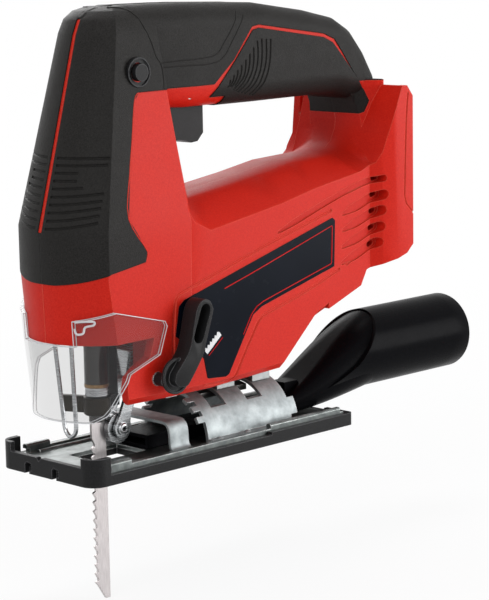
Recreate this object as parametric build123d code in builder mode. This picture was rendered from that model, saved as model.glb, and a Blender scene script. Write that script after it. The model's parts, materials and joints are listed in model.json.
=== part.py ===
from build123d import *
from math import atan2, cos, degrees, pi, radians, sin, sqrt
import os

os.makedirs("parts", exist_ok=True)

# Cordless jigsaw. Millimetres, +Z up. The origin lies on the sole plane, on the
# saw blade's centre line. -X is the cutting direction, +X points to the battery
# foot and -Y is the tool's left side.

# ---------------------------------------------------------------- driving sizes
# fits
play = 0.3              # between a piece and the seat that carries it
run_fit = 0.04          # radial clearance of a shaft that turns or slides
move_gap = 0.5          # between pieces that pass each other

# moulded body
wall = 3.6
body_half = 28.4        # half width of the nose and the motor barrel
foot_half = 35.5        # half width of the battery foot
nose_front = -28.4      # front of the nose on the centre plane
nose_bow = 39.0         # radius of the bowed nose where it starts to lean back
lip_front = -27.4       # front and radius of the bow at the lower edge
lip_bow = 34.0
nose_lip = 57.5         # lower edge of the nose above the blade clamp
nose_bend = 105.0       # height where the front starts to lean back
top_front = -5.0
top_half = 17.5
top_height = 190.0      # where the column's top starts to round over
foot_rear = 168.0
foot_top = 155.3
loop_rear = 153.6       # rear face of the hand loop
handle_half = 18.5
grip_depth = 2.0        # thickness of the soft overmould
grip_proud = 0.4
stripe_half = 1.2       # half width of the bare rib down the nose

# shoe
shoe_front = -30.0
shoe_rear = 130.0
shoe_half = 31.0
sole_floor = 2.8
rim_top = 4.5
rear_rim_top = 5.8
front_wall_top = 8.0
front_wall = 2.4
post_top = 12.0
post_long = 10.0
post_wide = 8.0
plate_thick = 1.8
rail_width = 2.6        # black rim beside the steel plate
flange_width = 3.0
flange_top = 6.6
raised_flange_top = 8.6
raised_from = 78.0

# bevel bracket
bevel_axis = 5.0        # height of the axis the shoe tilts about
arch_outer = 21.0
arch_sheet = 1.7
arch_front = 46.0
arch_rear = 99.0
arch_lug = 4.0
window_half_angle = 49.0
windows = ((52.7, 62.3), (75.3, 85.0))

# dust port
duct_front = 20.0
duct_half = 9.5
duct_height = 6.0
duct_wall = 1.5
tube_front = 170.0
tube_rear = 231.0
tube_radius = 18.5
socket_radius = 16.3    # takes the vacuum hose's end
socket_long = 50.0
spigot_radius = 15.6    # the duct's end inside the tube
spigot_long = 10.0
tube_axis = 27.0
collar_step = 0.7

# drive
motor_axis = 78.0
can_radius = 20.0
can_sheet = 1.5
can_front = 36.0
can_rear = 96.0
shaft_radius = 2.5
bearing_radius = 6.5
bearing_width = 5.0
gear_module = 1.0
gear_teeth = 45
pinion_teeth = 9
gear_front = 17.0
gear_width = 7.0
crank_radius = 10.0     # half of the stroke
crank_pin_radius = 3.0
crank_roller_radius = 4.0
gear_axle_radius = 4.0
gear_plate_front = 25.5
gear_plate_thick = 4.0
plate_half = 20.0
rod_radius = 4.5
rod_top = 140.0
yoke_half = 19.5
yoke_half_height = 11.0
yoke_slot_half_height = 6.7
yoke_front = 9.6
yoke_thick = 4.2
guide_pivot = 131.0
lower_bush = (75.0, 84.0)
upper_bush = (126.0, 136.0)
bush_radius = 7.0
eye_wall = 1.8
trunnion_radius = 3.0
trunnion_reach = 14.0
ceiling = 73.0          # roof of the open bay over the clamp
ceiling_thick = 4.0

# blade, clamp and roller
blade_width = 8.0
blade_thick = 1.2
blade_tip = -60.0
tooth_pitch = 4.0
tooth_depth = 1.5
shank_top = 34.5
clamp_bottom = 19.6
clamp_radius = 5.2
collar_radius = 5.8
roller_radius = 6.7
roller_width = 7.0
groove_depth = 1.5
roller_height = 15.4
fork_arm = 1.6
fork_pin_x = 20.0
fork_pin_z = 46.0
fork_pin_radius = 2.0

# controls
lever_x = 9.5
lever_z = 40.4
lever_knee = (21.0, 46.5)
lever_end = (29.0, 68.5)
lever_half_width = 4.6
lever_slot = (15.0, 4.6)
lever_rise = 9.6        # thickness across the tool
hub_radius = 6.6
trigger_half = 7.0
trigger_front = 38.6
trigger_rear = 60.0
trigger_bottom = 136.0
trigger_pivot = (43.5, 157.5)
button_x = 9.8
button_z = 169.5
button_radius = 3.6
button_face = 23.4
dish_radius = 6.2       # round recess in the overmould about the button
dish_floor = 19.0
lever_shaft_radius = 3.0
trigger_pin_radius = 1.5
trigger_pin_reach = 16.5
fork_pin_reach = 16.0
hook_places = (-7.0, 10.8)

# what follows from them
blade_back = blade_width / 2
gear_radius = gear_module * gear_teeth / 2
pinion_radius = gear_module * pinion_teeth / 2
gear_axis = motor_axis + gear_radius + pinion_radius
yoke_axis = gear_axis - crank_radius
groove_radius = roller_radius - groove_depth
roller_x = blade_back + 0.15 + groove_radius
plate_top = sole_floor + plate_thick
clear_of_body = 2 * foot_half


def finish(piece, label):
    """Label a finished piece and write it under its own name."""
    piece.part.label = label
    export_step(piece.part, f"parts/{label}.step")


def half(form, side):
    """One half of a form, cut on the centre plane; side is -1 left, +1 right."""
    with BuildPart() as result:
        add(form)
        split(bisect_by=Plane.XZ, keep=Keep.TOP if side < 0 else Keep.BOTTOM)
    return result.part


def side_prism(points, reach=clear_of_body, centre=0.0):
    """A side outline of (x, z) points, pulled out across the tool."""
    with BuildPart() as result:
        with BuildSketch(Plane.XZ.offset(-centre)):
            with BuildLine():
                Polyline(*points, close=True)
            make_face()
        extrude(amount=reach, both=True)
    return result.part


def along_y(x, z, radius, start, end):
    """A round bar across the tool from y = start to y = end."""
    with BuildPart() as result:
        with BuildSketch(Plane.XZ.offset(-start)):
            with Locations((x, z)):
                Circle(radius)
        extrude(amount=start - end)
    return result.part


def along_x(height, radius, start, end):
    """A round bar along the tool at the given height."""
    with BuildPart() as result:
        with BuildSketch(Plane.YZ.offset(start)):
            with Locations((0, height)):
                Circle(radius)
        extrude(amount=end - start)
    return result.part


def along_z(radius, start, end, x=0.0, y=0.0):
    """An upright round bar."""
    with BuildPart() as result:
        with BuildSketch(Plane.XY.offset(start)):
            with Locations((x, y)):
                Circle(radius)
        extrude(amount=end - start)
    return result.part


def block(x0, x1, y0, y1, z0, z1):
    """A box between two corners."""
    with BuildPart() as result:
        with BuildSketch(Plane.XY.offset(z0)):
            with Locations(((x0 + x1) / 2, (y0 + y1) / 2)):
                Rectangle(abs(x1 - x0), abs(y1 - y0))
        extrude(amount=z1 - z0)
    return result.part


def grown(box, gap):
    """A box given by its limits, grown on all sides."""
    x0, x1, y0, y1, z0, z1 = box
    return block(x0 - gap, x1 + gap, y0 - gap, y1 + gap, z0 - gap, z1 + gap)


# ------------------------------------------------------------- outer body form
def nose_plan(front, half_width, rear, bow, rear_bow):
    """Plan outline of the nose: bowed front, straight sides, bowed back."""
    shoulder = front + bow - sqrt(bow**2 - half_width**2)
    back = rear - (rear_bow - sqrt(rear_bow**2 - half_width**2))
    with BuildLine() as outline:
        ThreePointArc((shoulder, -half_width), (front, 0), (shoulder, half_width))
        Line((shoulder, half_width), (back, half_width))
        ThreePointArc((back, half_width), (rear, 0), (back, -half_width))
        Line((back, -half_width), (shoulder, -half_width))
    return outline.line


def column_form(inset):
    """Nose and front of the handle loop: upright, then leaning back to a rounded top."""
    # height, front, half width, rear, radius of the bow
    levels = (
        (nose_lip, lip_front, body_half, 44.0, lip_bow),
        (nose_bend - 20, nose_front, body_half, 44.6, nose_bow),
        (nose_bend, nose_front, body_half, 45.0, nose_bow),
        (top_height - 5, top_front - 1.4, top_half + 0.6, 28.0, 28.0),
        (top_height + 1, top_front + 1.2, top_half - 1.4, 27.0, 26.0),
        (top_height + 4.4, top_front + 5.4, top_half - 4.6, 26.0, 24.0),
        (top_height + 6.2, top_front + 12.0, top_half - 8.5, 25.0, 22.0),
    )
    with BuildPart() as result:
        for height, front, width, rear, bow in levels:
            level = height - inset if height > nose_bend else height
            with BuildSketch(Plane.XY.offset(level)):
                add(nose_plan(front + inset, width - inset, rear - inset, bow, 36.0))
                make_face()
        loft(ruled=True)
    return result.part


def barrel_form(inset):
    """Motor barrel under the hand: flat sides, sloping shoulders, rising keel."""
    # x, keel, shoulder and crest heights; both ends sweep up into the hand loop
    stations = (
        (-7.5, 31.0, 82.0, 100.0),
        (21.0, 30.6, 100.0, 112.0),
        (27.6, 30.6, 115.0, 122.0),
        (33.6, 30.6, 104.6, 116.2),
        (43.0, 30.6, 100.2, 112.6),
        (87.0, 32.8, 107.4, 118.8),
        (109.3, 53.0, 112.2, 122.6),
        (139.0, 64.0, 116.9, 124.2),
        (145.5, 72.0, 118.4, 125.6),
        (149.8, 73.0, 120.6, 129.0),
        (152.6, 74.0, 122.4, 134.5),
        (154.0, 74.5, 124.0, 142.0),
    )
    crest_half = 12.0
    chine = 3.0
    lean = (body_half - top_half) / (top_height - nose_bend)
    with BuildPart() as result:
        for x, keel, shoulder, crest in stations:
            first, last = x == stations[0][0], x == stations[-1][0]
            place = x + (inset if first else -inset if last else 0)
            side, low, high = body_half - inset, keel + inset, crest - inset
            # beside the column the shoulder follows the column's leaning side
            top_side = side - (lean * max(0, shoulder - nose_bend) if x < 40 else 0)
            points = [(-side + chine, low), (side - chine, low), (side, low + chine)]
            points += [(top_side, shoulder), (crest_half, high), (-crest_half, high)]
            points += [(-top_side, shoulder), (-side, low + chine)]
            with BuildSketch(Plane.YZ.offset(place)):
                with BuildLine():
                    Polyline(*points, close=True)
                make_face()
        loft(ruled=True)
    return result.part


def outline_face(outline, inset):
    """Flat face with the given outline, moved in by the inset."""
    with BuildSketch() as face:
        with BuildLine():
            Polyline(*outline, close=True)
        make_face()
        if inset > 0:
            offset(amount=-inset, kind=Kind.INTERSECTION, mode=Mode.REPLACE)
    return face.sketch


def plate_form(side_outline, plan_outline, inset):
    """Solid with the given side outline and the given plan, both moved in by the inset."""
    with BuildPart() as result:
        with BuildSketch(Plane.XZ):
            add(outline_face(side_outline, inset))
        extrude(amount=clear_of_body, both=True)
        with BuildSketch():
            add(outline_face(plan_outline, inset))
        extrude(amount=2 * top_height, mode=Mode.INTERSECT)
    return result.part


def mirrored(outline):
    """A plan outline given for one side, closed by its mirror image."""
    return outline + [(x, -y) for x, y in reversed(outline)]


def foot_form(inset):
    """Battery foot: flared side panels behind a narrower rear column of the hand loop."""
    panels = [
        (117.0, 56.0), (139.0, 64.0), (143.0, 71.0), (163.5, 77.0), (foot_rear, 81.0),
        (foot_rear, foot_top - 5.0), (foot_rear - 4.0, foot_top), (160.6, foot_top),
        (157.2, 147.4), (154.9, 139.8), (152.6, 133.0), (150.2, 125.5), (147.6, 120.5),
        (139.5, 117.0), (117.0, 113.0),
    ]
    flare = mirrored([(117.0, body_half), (145.2, body_half), (150.0, body_half + 4.0),
                      (157.0, foot_half), (foot_rear + 9.0, foot_half)])
    column = [
        (139.0, 158.0), (146.0, 153.6), (149.5, 150.0), (151.6, 145.5), (153.2, 139.5),
        (loop_rear, 134.0), (loop_rear, 100.0), (foot_rear, 100.0), (foot_rear, foot_top),
        (161.0, 158.0),
    ]
    column_plan = mirrored([(130.0, 14.5), (151.0, 14.5), (154.6, 17.2), (160.6, 22.6),
                            (foot_rear, 24.0)])
    with BuildPart() as result:
        add(plate_form(panels, flare, inset))
        add(plate_form(column, column_plan, inset))
    return result.part


def handle_form(inset):
    """Top handle: a rounded bar that droops to the battery foot."""
    # x, underside, top and half width
    stations = (
        (4.0, 160.0, 193.6, 13.0),
        (14.0, 154.0, 196.6, 16.6),
        (45.0, 152.0, 196.6, handle_half),
        (88.0, 152.2, 195.3, handle_half),
        (120.0, 152.6, 190.8, handle_half),
        (138.0, 152.4, 187.0, handle_half),
        (147.0, 150.0, 182.4, handle_half - 0.6),
        (155.0, 149.0, 174.0, handle_half - 1.2),
        (161.5, 148.0, 163.0, handle_half - 2.5),
    )
    with BuildPart() as result:
        for x, low, high, width in stations:
            first, last = x == stations[0][0], x == stations[-1][0]
            place = x + (inset if first else -inset if last else 0)
            tall = high - low - 2 * inset
            with BuildSketch(Plane.YZ.offset(place)):
                wide = 2 * (width - inset)
                with Locations((0, (low + high) / 2)):
                    RectangleRounded(wide, tall, min(10.0, 0.44 * tall, 0.44 * wide))
        loft(ruled=True)
    return result.part


def body_form(inset=0.0):
    """The whole moulded body, its surface moved in by the inset."""
    with BuildPart() as result:
        add(column_form(inset))
        add(barrel_form(inset))
        add(foot_form(inset))
        add(handle_form(inset))
    return result.part


# front edge of the side cheeks below the nose, as (x, z)
cheek_cut = [
    (-45.0, nose_lip), (8.4, nose_lip + 0.8), (5.8, 50.2), (-2.5, 46.1), (-6.3, 43.0),
    (-7.4, 38.0), (-6.6, 33.0), (-2.5, 28.0), (-2.5, 10.0), (-45.0, 10.0),
]

far_cheek_cut = [(x + 9.0 if -45.0 < x < 8.0 else x, z) for x, z in cheek_cut]

skin = body_form()
grip_skin = body_form(-grip_proud)
core = body_form(grip_depth)
hollow = body_form(wall)

# -------------------------------------------------------- overmould boundaries
front_grip_edge = [
    (-45.0, 82.6), (-28.0, 83.0), (-15.0, 88.0), (4.4, 91.0), (5.4, 95.5), (-4.0, 109.5),
    (-0.5, 129.0), (6.5, 158.0), (9.5, 161.2), (56.0, 161.6), (68.2, 171.6), (79.6, 185.4),
    (84.0, 186.2), (126.0, 180.4), (133.0, 177.6), (150.0, 157.5), (164.0, 157.5),
    (164.0, 205.0), (-45.0, 205.0),
]
rear_pad_edge = [
    (55.0, 147.0), (55.0, 156.5), (60.0, 161.9), (68.8, 170.9), (80.2, 184.0), (84.0, 184.8),
    (125.8, 178.8), (131.8, 176.2), (150.6, 157.4), (154.4, 153.6), (156.4, 148.0),
    (154.6, 142.8), (150.0, 141.2), (100.0, 141.2),
]

with BuildPart() as rind_form:
    add(grip_skin)
    add(core, mode=Mode.SUBTRACT)
with BuildPart() as front_grip_region:
    add(side_prism(front_grip_edge))
    add(block(-45, 14, -stripe_half, stripe_half, nose_bend - 0.5, 210), mode=Mode.SUBTRACT)
    add(along_y(button_x, button_z, dish_radius, -clear_of_body, -dish_floor),
        mode=Mode.SUBTRACT)
    add(along_y(button_x, button_z, button_radius + play, -clear_of_body, -6.0),
        mode=Mode.SUBTRACT)
with BuildPart() as front_grip:
    add(rind_form.part)
    add(front_grip_region.part, mode=Mode.INTERSECT)
with BuildPart() as rear_pad:
    add(rind_form.part)
    add(side_prism(rear_pad_edge), mode=Mode.INTERSECT)
    add(block(trigger_front - 5, trigger_rear + 4, -handle_half, handle_half, 130, 156),
        mode=Mode.SUBTRACT)

# ------------------------------------------------------------ inside the body
ceiling_top = ceiling + ceiling_thick
bay_half = body_half - 4.4
bay_rear = 15.5
fork_half = roller_width / 2 + 0.5 + fork_arm
fork_bay_half = fork_half + 1.0
eye_radius = bush_radius + eye_wall
plate_low = motor_axis - 17.0
plate_high = gear_axis + 19.0
switch_box = (46.0, 76.0, -9.5, 9.5, 163.5, 183.0)
screw_places = (
    (22.0, 66.0), (36.0, 140.0), (30.0, 185.0), (94.0, 176.0), (150.0, 163.0),
    (116.0, 105.0), (116.0, 70.0), (60.0, 45.0), (-9.8, 144.0),
)
screw_boss = 4.2
screw_radius = 1.6
screw_head = 3.4
terminal_box = (148.0, 157.5, -17.0, 17.0, 96.0, 119.0)
board_box = (122.0, 124.0, -16.0, 16.0, 76.0, 112.0)
lip = 3.0               # rear lip that holds the battery
bay_narrow = 18.5       # half widths of the battery bay, inside and between the lips
bay_wide = 28.0
rail_front = 162.0      # front and depth of the grooves for the battery's rails
rail_depth = 4.0


# plastic left standing in the hollow
ribs = [
    # nose floor and gearbox floor
    block(-60, 33, -50, 50, 0, 59),
    block(-60, 16.5, -50, 50, 0, ceiling_top),
    # ring that holds the gearbox plate
    block(gear_plate_front - 2.5, gear_plate_front + gear_plate_thick + 2.5, -50, 50, 0,
          gear_axis + 30),
    # seats of the board and of the terminal block
    block(board_box[0] - 3, board_box[1] + 3, -50, 50, 0, 135),
    block(terminal_box[0] - 3, foot_rear, -50, 50, 0, 200),
]
# two saddles round the motor can, two ribs round the switch
ribs += [block(x, x + 4, -50, 50, 0, 150) for x in (can_front + 6, can_rear - 14)]
ribs += [block(x, x + 3, -50, 50, 156, 250) for x in (switch_box[0] + 3, switch_box[1] - 6)]
ribs += [along_y(x, z, screw_boss, -50, 50) for x, z in screw_places]
ribs += [
    along_y(0, guide_pivot, 2 * trunnion_radius, side * (eye_radius + move_gap), side * 50)
    for side in (-1, 1)
]

gear_tip = gear_radius + gear_module
fan_radius = 15.0
button_flange = button_radius + 1.4
plate_rear = gear_plate_front + gear_plate_thick
plate_box = (gear_plate_front, plate_rear, -plate_half, plate_half, plate_low, plate_high)
pockets = [
    # seat of the gearbox plate, and the window inside its ring
    grown(plate_box, play / 2),
    block(gear_plate_front - 3, plate_rear + 3, -plate_half + 3, plate_half - 3,
          plate_low + 3, plate_high - 3),
    along_x(gear_axis, gear_tip + 1.0, gear_front - 1.5, gear_plate_front - 0.2),
    # motor seat
    along_x(motor_axis, can_radius + play / 2, can_front - play, can_rear + play),
    along_x(motor_axis, bearing_radius + 1.5 + play, can_rear, can_rear + 12),
    along_x(motor_axis, fan_radius + 1.0, plate_rear, can_front),
    # swinging plunger guide
    along_y(0, guide_pivot, trunnion_radius + run_fit, -trunnion_reach - play,
            trunnion_reach + play),
    block(-11.5, 11.0, -eye_radius - 1.0, eye_radius + 1.0, ceiling - 1, ceiling_top + 1),
    # controls and electrics
    along_y(button_x, button_z, button_flange + move_gap, -16.2, -9.0),
    grown(switch_box, play / 2),
    grown(board_box, play / 2),
    grown(terminal_box, play / 2),
]
with BuildPart() as body_space:
    add(hollow)
    add(ribs, mode=Mode.SUBTRACT)
    add(pockets)

with BuildPart() as clamp_bay:
    # open bay over the blade clamp
    with BuildSketch(Plane.XY.offset(10)):
        add(nose_plan(lip_front + 3.2, bay_half, 40.0, lip_bow - 3.0, 200.0))
        make_face()
    extrude(amount=ceiling - 10)
    add(block(bay_rear, 60, -50, 50, 0, 100), mode=Mode.SUBTRACT)
    # narrow bay for the roller's fork
    add(block(5, fork_pin_x + 8, -fork_bay_half, fork_bay_half, 10, fork_pin_z + 10))

with BuildPart() as battery_bay:
    for front, rear, half_width in (
        (terminal_box[1], foot_rear + 5, bay_narrow), (rail_front, foot_rear + 5, bay_wide),
        (rail_front, foot_rear - lip, bay_wide + rail_depth),
    ):
        add(block(front, rear, -half_width, half_width, 90, 200))
    add(handle_form(0), mode=Mode.SUBTRACT)

# vents: shallow grooves up the side, each with a hole where it meets the flare
vent_count = 5
vent_pitch = 7.6
vent_length = 22.0
vent_width = 2.4
vent_hole = 4.6
groove_floor = body_half - 0.7
vent_bottom = (147.4, 83.2)     # rear end of the lowest groove
with BuildPart() as vents:
    for side in (-1, 1):
        for row in range(vent_count):
            slope = 22.5 - 2.2 * row
            rise = (cos(radians(slope)), sin(radians(slope)))
            end_x, end_z = vent_bottom[0] + 0.8 * row, vent_bottom[1] + vent_pitch * row
            for length, floor in ((vent_length, groove_floor), (vent_hole, groove_floor - 8)):
                back = (length - vent_width) / 2
                place = Location((end_x - back * rise[0], end_z - back * rise[1]), slope)
                with BuildSketch(Plane.XZ.offset(-side * floor)):
                    with Locations(place):
                        SlotOverall(length, vent_width)
                extrude(amount=-side * (body_half + 8 - floor))

label_edge = [
    (20.6, 57.0), (37.0, 45.0), (39.0, 35.8), (50.0, 35.0), (52.0, 35.8), (67.5, 60.0),
    (73.0, 63.0), (120.6, 75.2), (121.4, 96.4), (119.6, 97.6), (26.0, 72.0), (23.0, 69.6),
]
label_thick = 0.8
label_proud = 0.2
with BuildPart() as label_plate:
    with BuildSketch(Plane.XZ.offset(body_half + label_proud)):
        with BuildLine():
            Polyline(*label_edge, close=True)
        make_face()
        fillet(vertices().sort_by(Axis.Z)[:3], 1.0)
    extrude(amount=-label_thick)
finish(label_plate, "label_plate")

# ------------------------------------------------------------- fixed mechanism
with BuildPart() as housing_screws:
    for x, z in screw_places:
        reach = body_half - 9 if z < 130 and x < 140 else 11.0
        add(along_y(x, z, screw_head, reach, reach - 2.6))
        add(along_y(x, z, screw_radius, reach - 2.6, -6.0))
finish(housing_screws, "housing_screws")

with BuildPart() as screw_bores:
    for x, z in screw_places:
        reach = body_half - 9 if z < 130 and x < 140 else 11.0
        add(along_y(x, z, screw_head, reach - 2.6, 50))
        add(along_y(x, z, screw_radius, reach, -6.0))

trigger_slot = (trigger_front - move_gap, trigger_rear + 4.5, -trigger_half - move_gap,
                trigger_half + move_gap, 148.0, 162.3)
saddle_bands = ((arch_front + 17.5, windows[1][0] - 1.0), (windows[1][1] + 1.0, arch_rear - 2))
bevel_screw_x = (sum(windows[0]) / 2, sum(windows[1]) / 2)
bevel_screw_radius = 2.5

# block under the barrel that the bevel bracket turns on
with BuildPart() as bevel_saddle:
    for x0, x1 in saddle_bands:
        add(block(x0, x1, -9.0, 9.0, bevel_axis + 15, 36.5))
    for x in bevel_screw_x:
        add(along_z(bevel_screw_radius + 2, bevel_axis + 15, 36.5, x))
    add(block(saddle_bands[0][0], saddle_bands[1][1], -9.0, 9.0, 33.5, 36.5))
    add(block(bevel_screw_x[0] - 5, saddle_bands[0][1], -9.0, 9.0, 31.5, 36.5))
    add(along_x(bevel_axis, arch_outer + play, 0, 120), mode=Mode.SUBTRACT)
    for x in bevel_screw_x:
        add(along_z(bevel_screw_radius, 0, 35.0, x), mode=Mode.SUBTRACT)
finish(bevel_saddle, "bevel_saddle")

arch_inner = arch_outer - arch_sheet
clamp_plate_thick = 2.4
with BuildPart() as bevel_clamp:
    with BuildSketch(Plane.YZ.offset(bevel_screw_x[0] - 5)):
        with Locations((0, bevel_axis)):
            Circle(arch_inner - play)
            Circle(arch_inner - play - clamp_plate_thick, mode=Mode.SUBTRACT)
        with Locations((0, bevel_axis + 25)):
            Rectangle(11.5, 50, mode=Mode.INTERSECT)
    extrude(amount=bevel_screw_x[1] - bevel_screw_x[0] + 10)
    for x in bevel_screw_x:
        add(along_z(bevel_screw_radius, 0, 60, x), mode=Mode.SUBTRACT)
finish(bevel_clamp, "bevel_clamp")

clamp_face = bevel_axis + arch_inner - play - clamp_plate_thick
with BuildPart() as bevel_screws:
    for x in bevel_screw_x:
        add(along_z(bevel_screw_radius, clamp_face - 0.6, 35.0, x))
        add(along_z(bevel_screw_radius + 1.5, clamp_face - 3.1, clamp_face - 0.6, x))
        with BuildSketch(Plane.XY.offset(clamp_face - 3.1)):
            with Locations((x, 0)):
                RegularPolygon(1.6, 6)
        extrude(amount=1.6, mode=Mode.SUBTRACT)
finish(bevel_screws, "bevel_screws")

# the wire that keeps fingers off the blade
wire_radius = 1.1
wire_x = -18.0
wire_foot = 16.8
with BuildPart() as wire_guard:
    with BuildLine() as wire_path:
        FilletPolyline(
            (wire_x, -5.4, ceiling + 3), (wire_x, -3.4, wire_foot), (wire_x, 3.4, wire_foot),
            (wire_x, 5.4, ceiling + 3), radius=2.8,
        )
    with BuildSketch(Plane(wire_path.line @ 0, z_dir=wire_path.line % 0)):
        Circle(wire_radius)
    sweep()
finish(wire_guard, "wire_guard")

body_cutters = [
    side_prism(cheek_cut), clamp_bay.part, body_space.part, battery_bay.part,
    front_grip.part, rear_pad.part, screw_bores.part, vents.part, grown(trigger_slot, 0),
    bevel_saddle.part, bevel_screws.part, wire_guard.part,
    along_y(fork_pin_x, fork_pin_z, fork_pin_radius, -fork_pin_reach, fork_pin_reach),
    along_y(*trigger_pivot, trigger_pin_radius, -trigger_pin_reach, trigger_pin_reach),
]
with BuildPart() as body_shell:
    add(skin)
    add(body_cutters, mode=Mode.SUBTRACT)

with BuildPart() as housing_left:
    add(half(body_shell.part, -1))
    add(label_plate.part, mode=Mode.SUBTRACT)
    add(along_y(lever_x, lever_z, lever_shaft_radius + run_fit, -50, 0), mode=Mode.SUBTRACT)
    add(along_y(button_x, button_z, button_radius + 0.1, -50, -6), mode=Mode.SUBTRACT)
finish(housing_left, "housing_left")

with BuildPart() as housing_right:
    add(half(body_shell.part, 1))
    add(side_prism(far_cheek_cut, body_half, body_half), mode=Mode.SUBTRACT)
finish(housing_right, "housing_right")

for side, tag in ((-1, "left"), (1, "right")):
    with BuildPart() as grip_half:
        add(half(front_grip.part, side))
    finish(grip_half, f"front_grip_{tag}")
    with BuildPart() as pad_half:
        add(half(rear_pad.part, side))
    finish(pad_half, f"rear_pad_{tag}")

with BuildPart() as fork_pin:
    add(along_y(fork_pin_x, fork_pin_z, fork_pin_radius, -fork_pin_reach, fork_pin_reach))
finish(fork_pin, "fork_pin")

with BuildPart() as trigger_pin:
    add(along_y(*trigger_pivot, trigger_pin_radius, -trigger_pin_reach, trigger_pin_reach))
finish(trigger_pin, "trigger_pin")

with BuildPart() as switch_body:
    add(grown(switch_box, 0))
    chamfer(edges().filter_by(Axis.X), 1.2)
finish(switch_body, "switch_body")

with BuildPart() as control_board:
    add(grown(board_box, 0))
finish(control_board, "control_board")

with BuildPart() as terminal_block:
    add(grown(terminal_box, 0))
    chamfer(edges().filter_by(Axis.X), 1.5)
finish(terminal_block, "terminal_block")

blade_rows = (-14.0, -5.0, 5.0, 14.0)
with BuildPart() as battery_contacts:
    for y in blade_rows:
        add(block(terminal_box[1], foot_rear - 3, y - 0.4, y + 0.4, 101, 117))
finish(battery_contacts, "battery_contacts")

# ---------------------------------------------------------------------- motor
with BuildPart() as motor_can:
    add(along_x(motor_axis, can_radius, can_front, can_rear))
    add(along_x(motor_axis, bearing_radius + 1.5, can_rear, can_rear + bearing_width))
    add(along_x(motor_axis, can_radius - can_sheet, can_front + can_sheet, can_rear - can_sheet),
        mode=Mode.SUBTRACT)
    add(along_x(motor_axis, bearing_radius, can_rear - can_sheet, can_rear + bearing_width),
        mode=Mode.SUBTRACT)
    add(along_x(motor_axis, bearing_radius + 2, can_front, can_front + can_sheet),
        mode=Mode.SUBTRACT)
finish(motor_can, "motor_can")

magnet_thick = 2.8
core_front = can_front + 13.0
core_rear = can_rear - 14.0
core_radius = can_radius - can_sheet - magnet_thick - 0.6
with BuildPart() as field_magnets:
    with BuildSketch(Plane.YZ.offset(core_front - 2)):
        with Locations((0, motor_axis)):
            Circle(can_radius - can_sheet)
            Circle(can_radius - can_sheet - magnet_thick, mode=Mode.SUBTRACT)
            Rectangle(10.0, 2 * can_radius, mode=Mode.SUBTRACT)
    extrude(amount=core_rear - core_front + 4)
finish(field_magnets, "field_magnets")

with BuildPart() as motor_bearings:
    for x in (gear_plate_front, can_rear):
        width = gear_plate_thick if x == gear_plate_front else bearing_width
        with BuildSketch(Plane.YZ.offset(x)):
            with Locations((0, motor_axis)):
                Circle(bearing_radius)
                Circle(shaft_radius + run_fit, mode=Mode.SUBTRACT)
        extrude(amount=width)
finish(motor_bearings, "motor_bearings")

commutator_radius = 8.0
commutator_front = core_rear + 4.0
commutator_rear = can_rear - can_sheet - 1.0
with BuildPart() as brush_holders:
    for side in (-1, 1):
        y = side * (commutator_radius + 0.3)
        add(block(commutator_front, commutator_rear, y, side * (can_radius - can_sheet - 0.6),
                  motor_axis - 3, motor_axis + 3))
finish(brush_holders, "brush_holders")

with BuildPart() as rotor_shaft:
    add(along_x(motor_axis, shaft_radius, gear_front - 0.5, can_rear + bearing_width - 0.5))
finish(rotor_shaft, "rotor_shaft")

with BuildPart() as rotor_core:
    with BuildSketch(Plane.YZ.offset(core_front)):
        with Locations((0, motor_axis)):
            Circle(core_radius)
            Circle(shaft_radius, mode=Mode.SUBTRACT)
            with PolarLocations(core_radius - 3.0, 6):
                Rectangle(6.5, 2.2, mode=Mode.SUBTRACT)
    extrude(amount=core_rear - core_front)
finish(rotor_core, "rotor_core")

with BuildPart() as rotor_windings:
    for x in (core_front - 3.5, core_rear):
        with BuildSketch(Plane.YZ.offset(x)):
            with Locations((0, motor_axis)):
                Circle(core_radius - 1.5)
                Circle(shaft_radius, mode=Mode.SUBTRACT)
        extrude(amount=3.5)
finish(rotor_windings, "rotor_windings")

with BuildPart() as commutator:
    with BuildSketch(Plane.YZ.offset(commutator_front)):
        with Locations((0, motor_axis)):
            Circle(commutator_radius)
            Circle(shaft_radius, mode=Mode.SUBTRACT)
            with PolarLocations(commutator_radius, 12):
                Rectangle(1.6, 0.5, mode=Mode.SUBTRACT)
    extrude(amount=commutator_rear - commutator_front)
finish(commutator, "commutator")

fan_blades = 9
fan_front = gear_plate_front + gear_plate_thick + 1.0
with BuildPart() as cooling_fan:
    with BuildSketch(Plane.YZ.offset(fan_front)):
        with Locations((0, motor_axis)):
            Circle(fan_radius)
            Circle(shaft_radius, mode=Mode.SUBTRACT)
    extrude(amount=1.0)
    with BuildSketch(Plane.YZ.offset(fan_front + 1.0)):
        with Locations((0, motor_axis)):
            Circle(5.0)
            with PolarLocations(9.0, fan_blades):
                Rectangle(10.0, 0.8)
            Circle(shaft_radius, mode=Mode.SUBTRACT)
    extrude(amount=3.0)
finish(cooling_fan, "cooling_fan")


def tooth_outline(teeth, addendum, dedendum, thinning, phase):
    """Closed outline of a spur gear about the origin, teeth from its involute."""
    pitch = gear_module * teeth / 2
    base = pitch * cos(radians(20))
    pressure = radians(20)
    half_tooth = pi / (2 * teeth) - thinning / (2 * pitch)
    involute = sin(pressure) / cos(pressure) - pressure

    def half_angle(radius):
        turn = 0.0 if radius <= base else sqrt((radius / base) ** 2 - 1)
        return half_tooth + involute - (turn - atan2(turn, 1))

    radii = (pitch - dedendum, pitch - 0.15, pitch + addendum)
    points = []
    for tooth in range(teeth):
        middle = radians(phase) + 2 * pi * tooth / teeth
        for radius in radii:
            angle = middle - half_angle(radius)
            points.append((radius * cos(angle), radius * sin(angle)))
        for radius in reversed(radii):
            angle = middle + half_angle(radius)
            points.append((radius * cos(angle), radius * sin(angle)))
    return points


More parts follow.
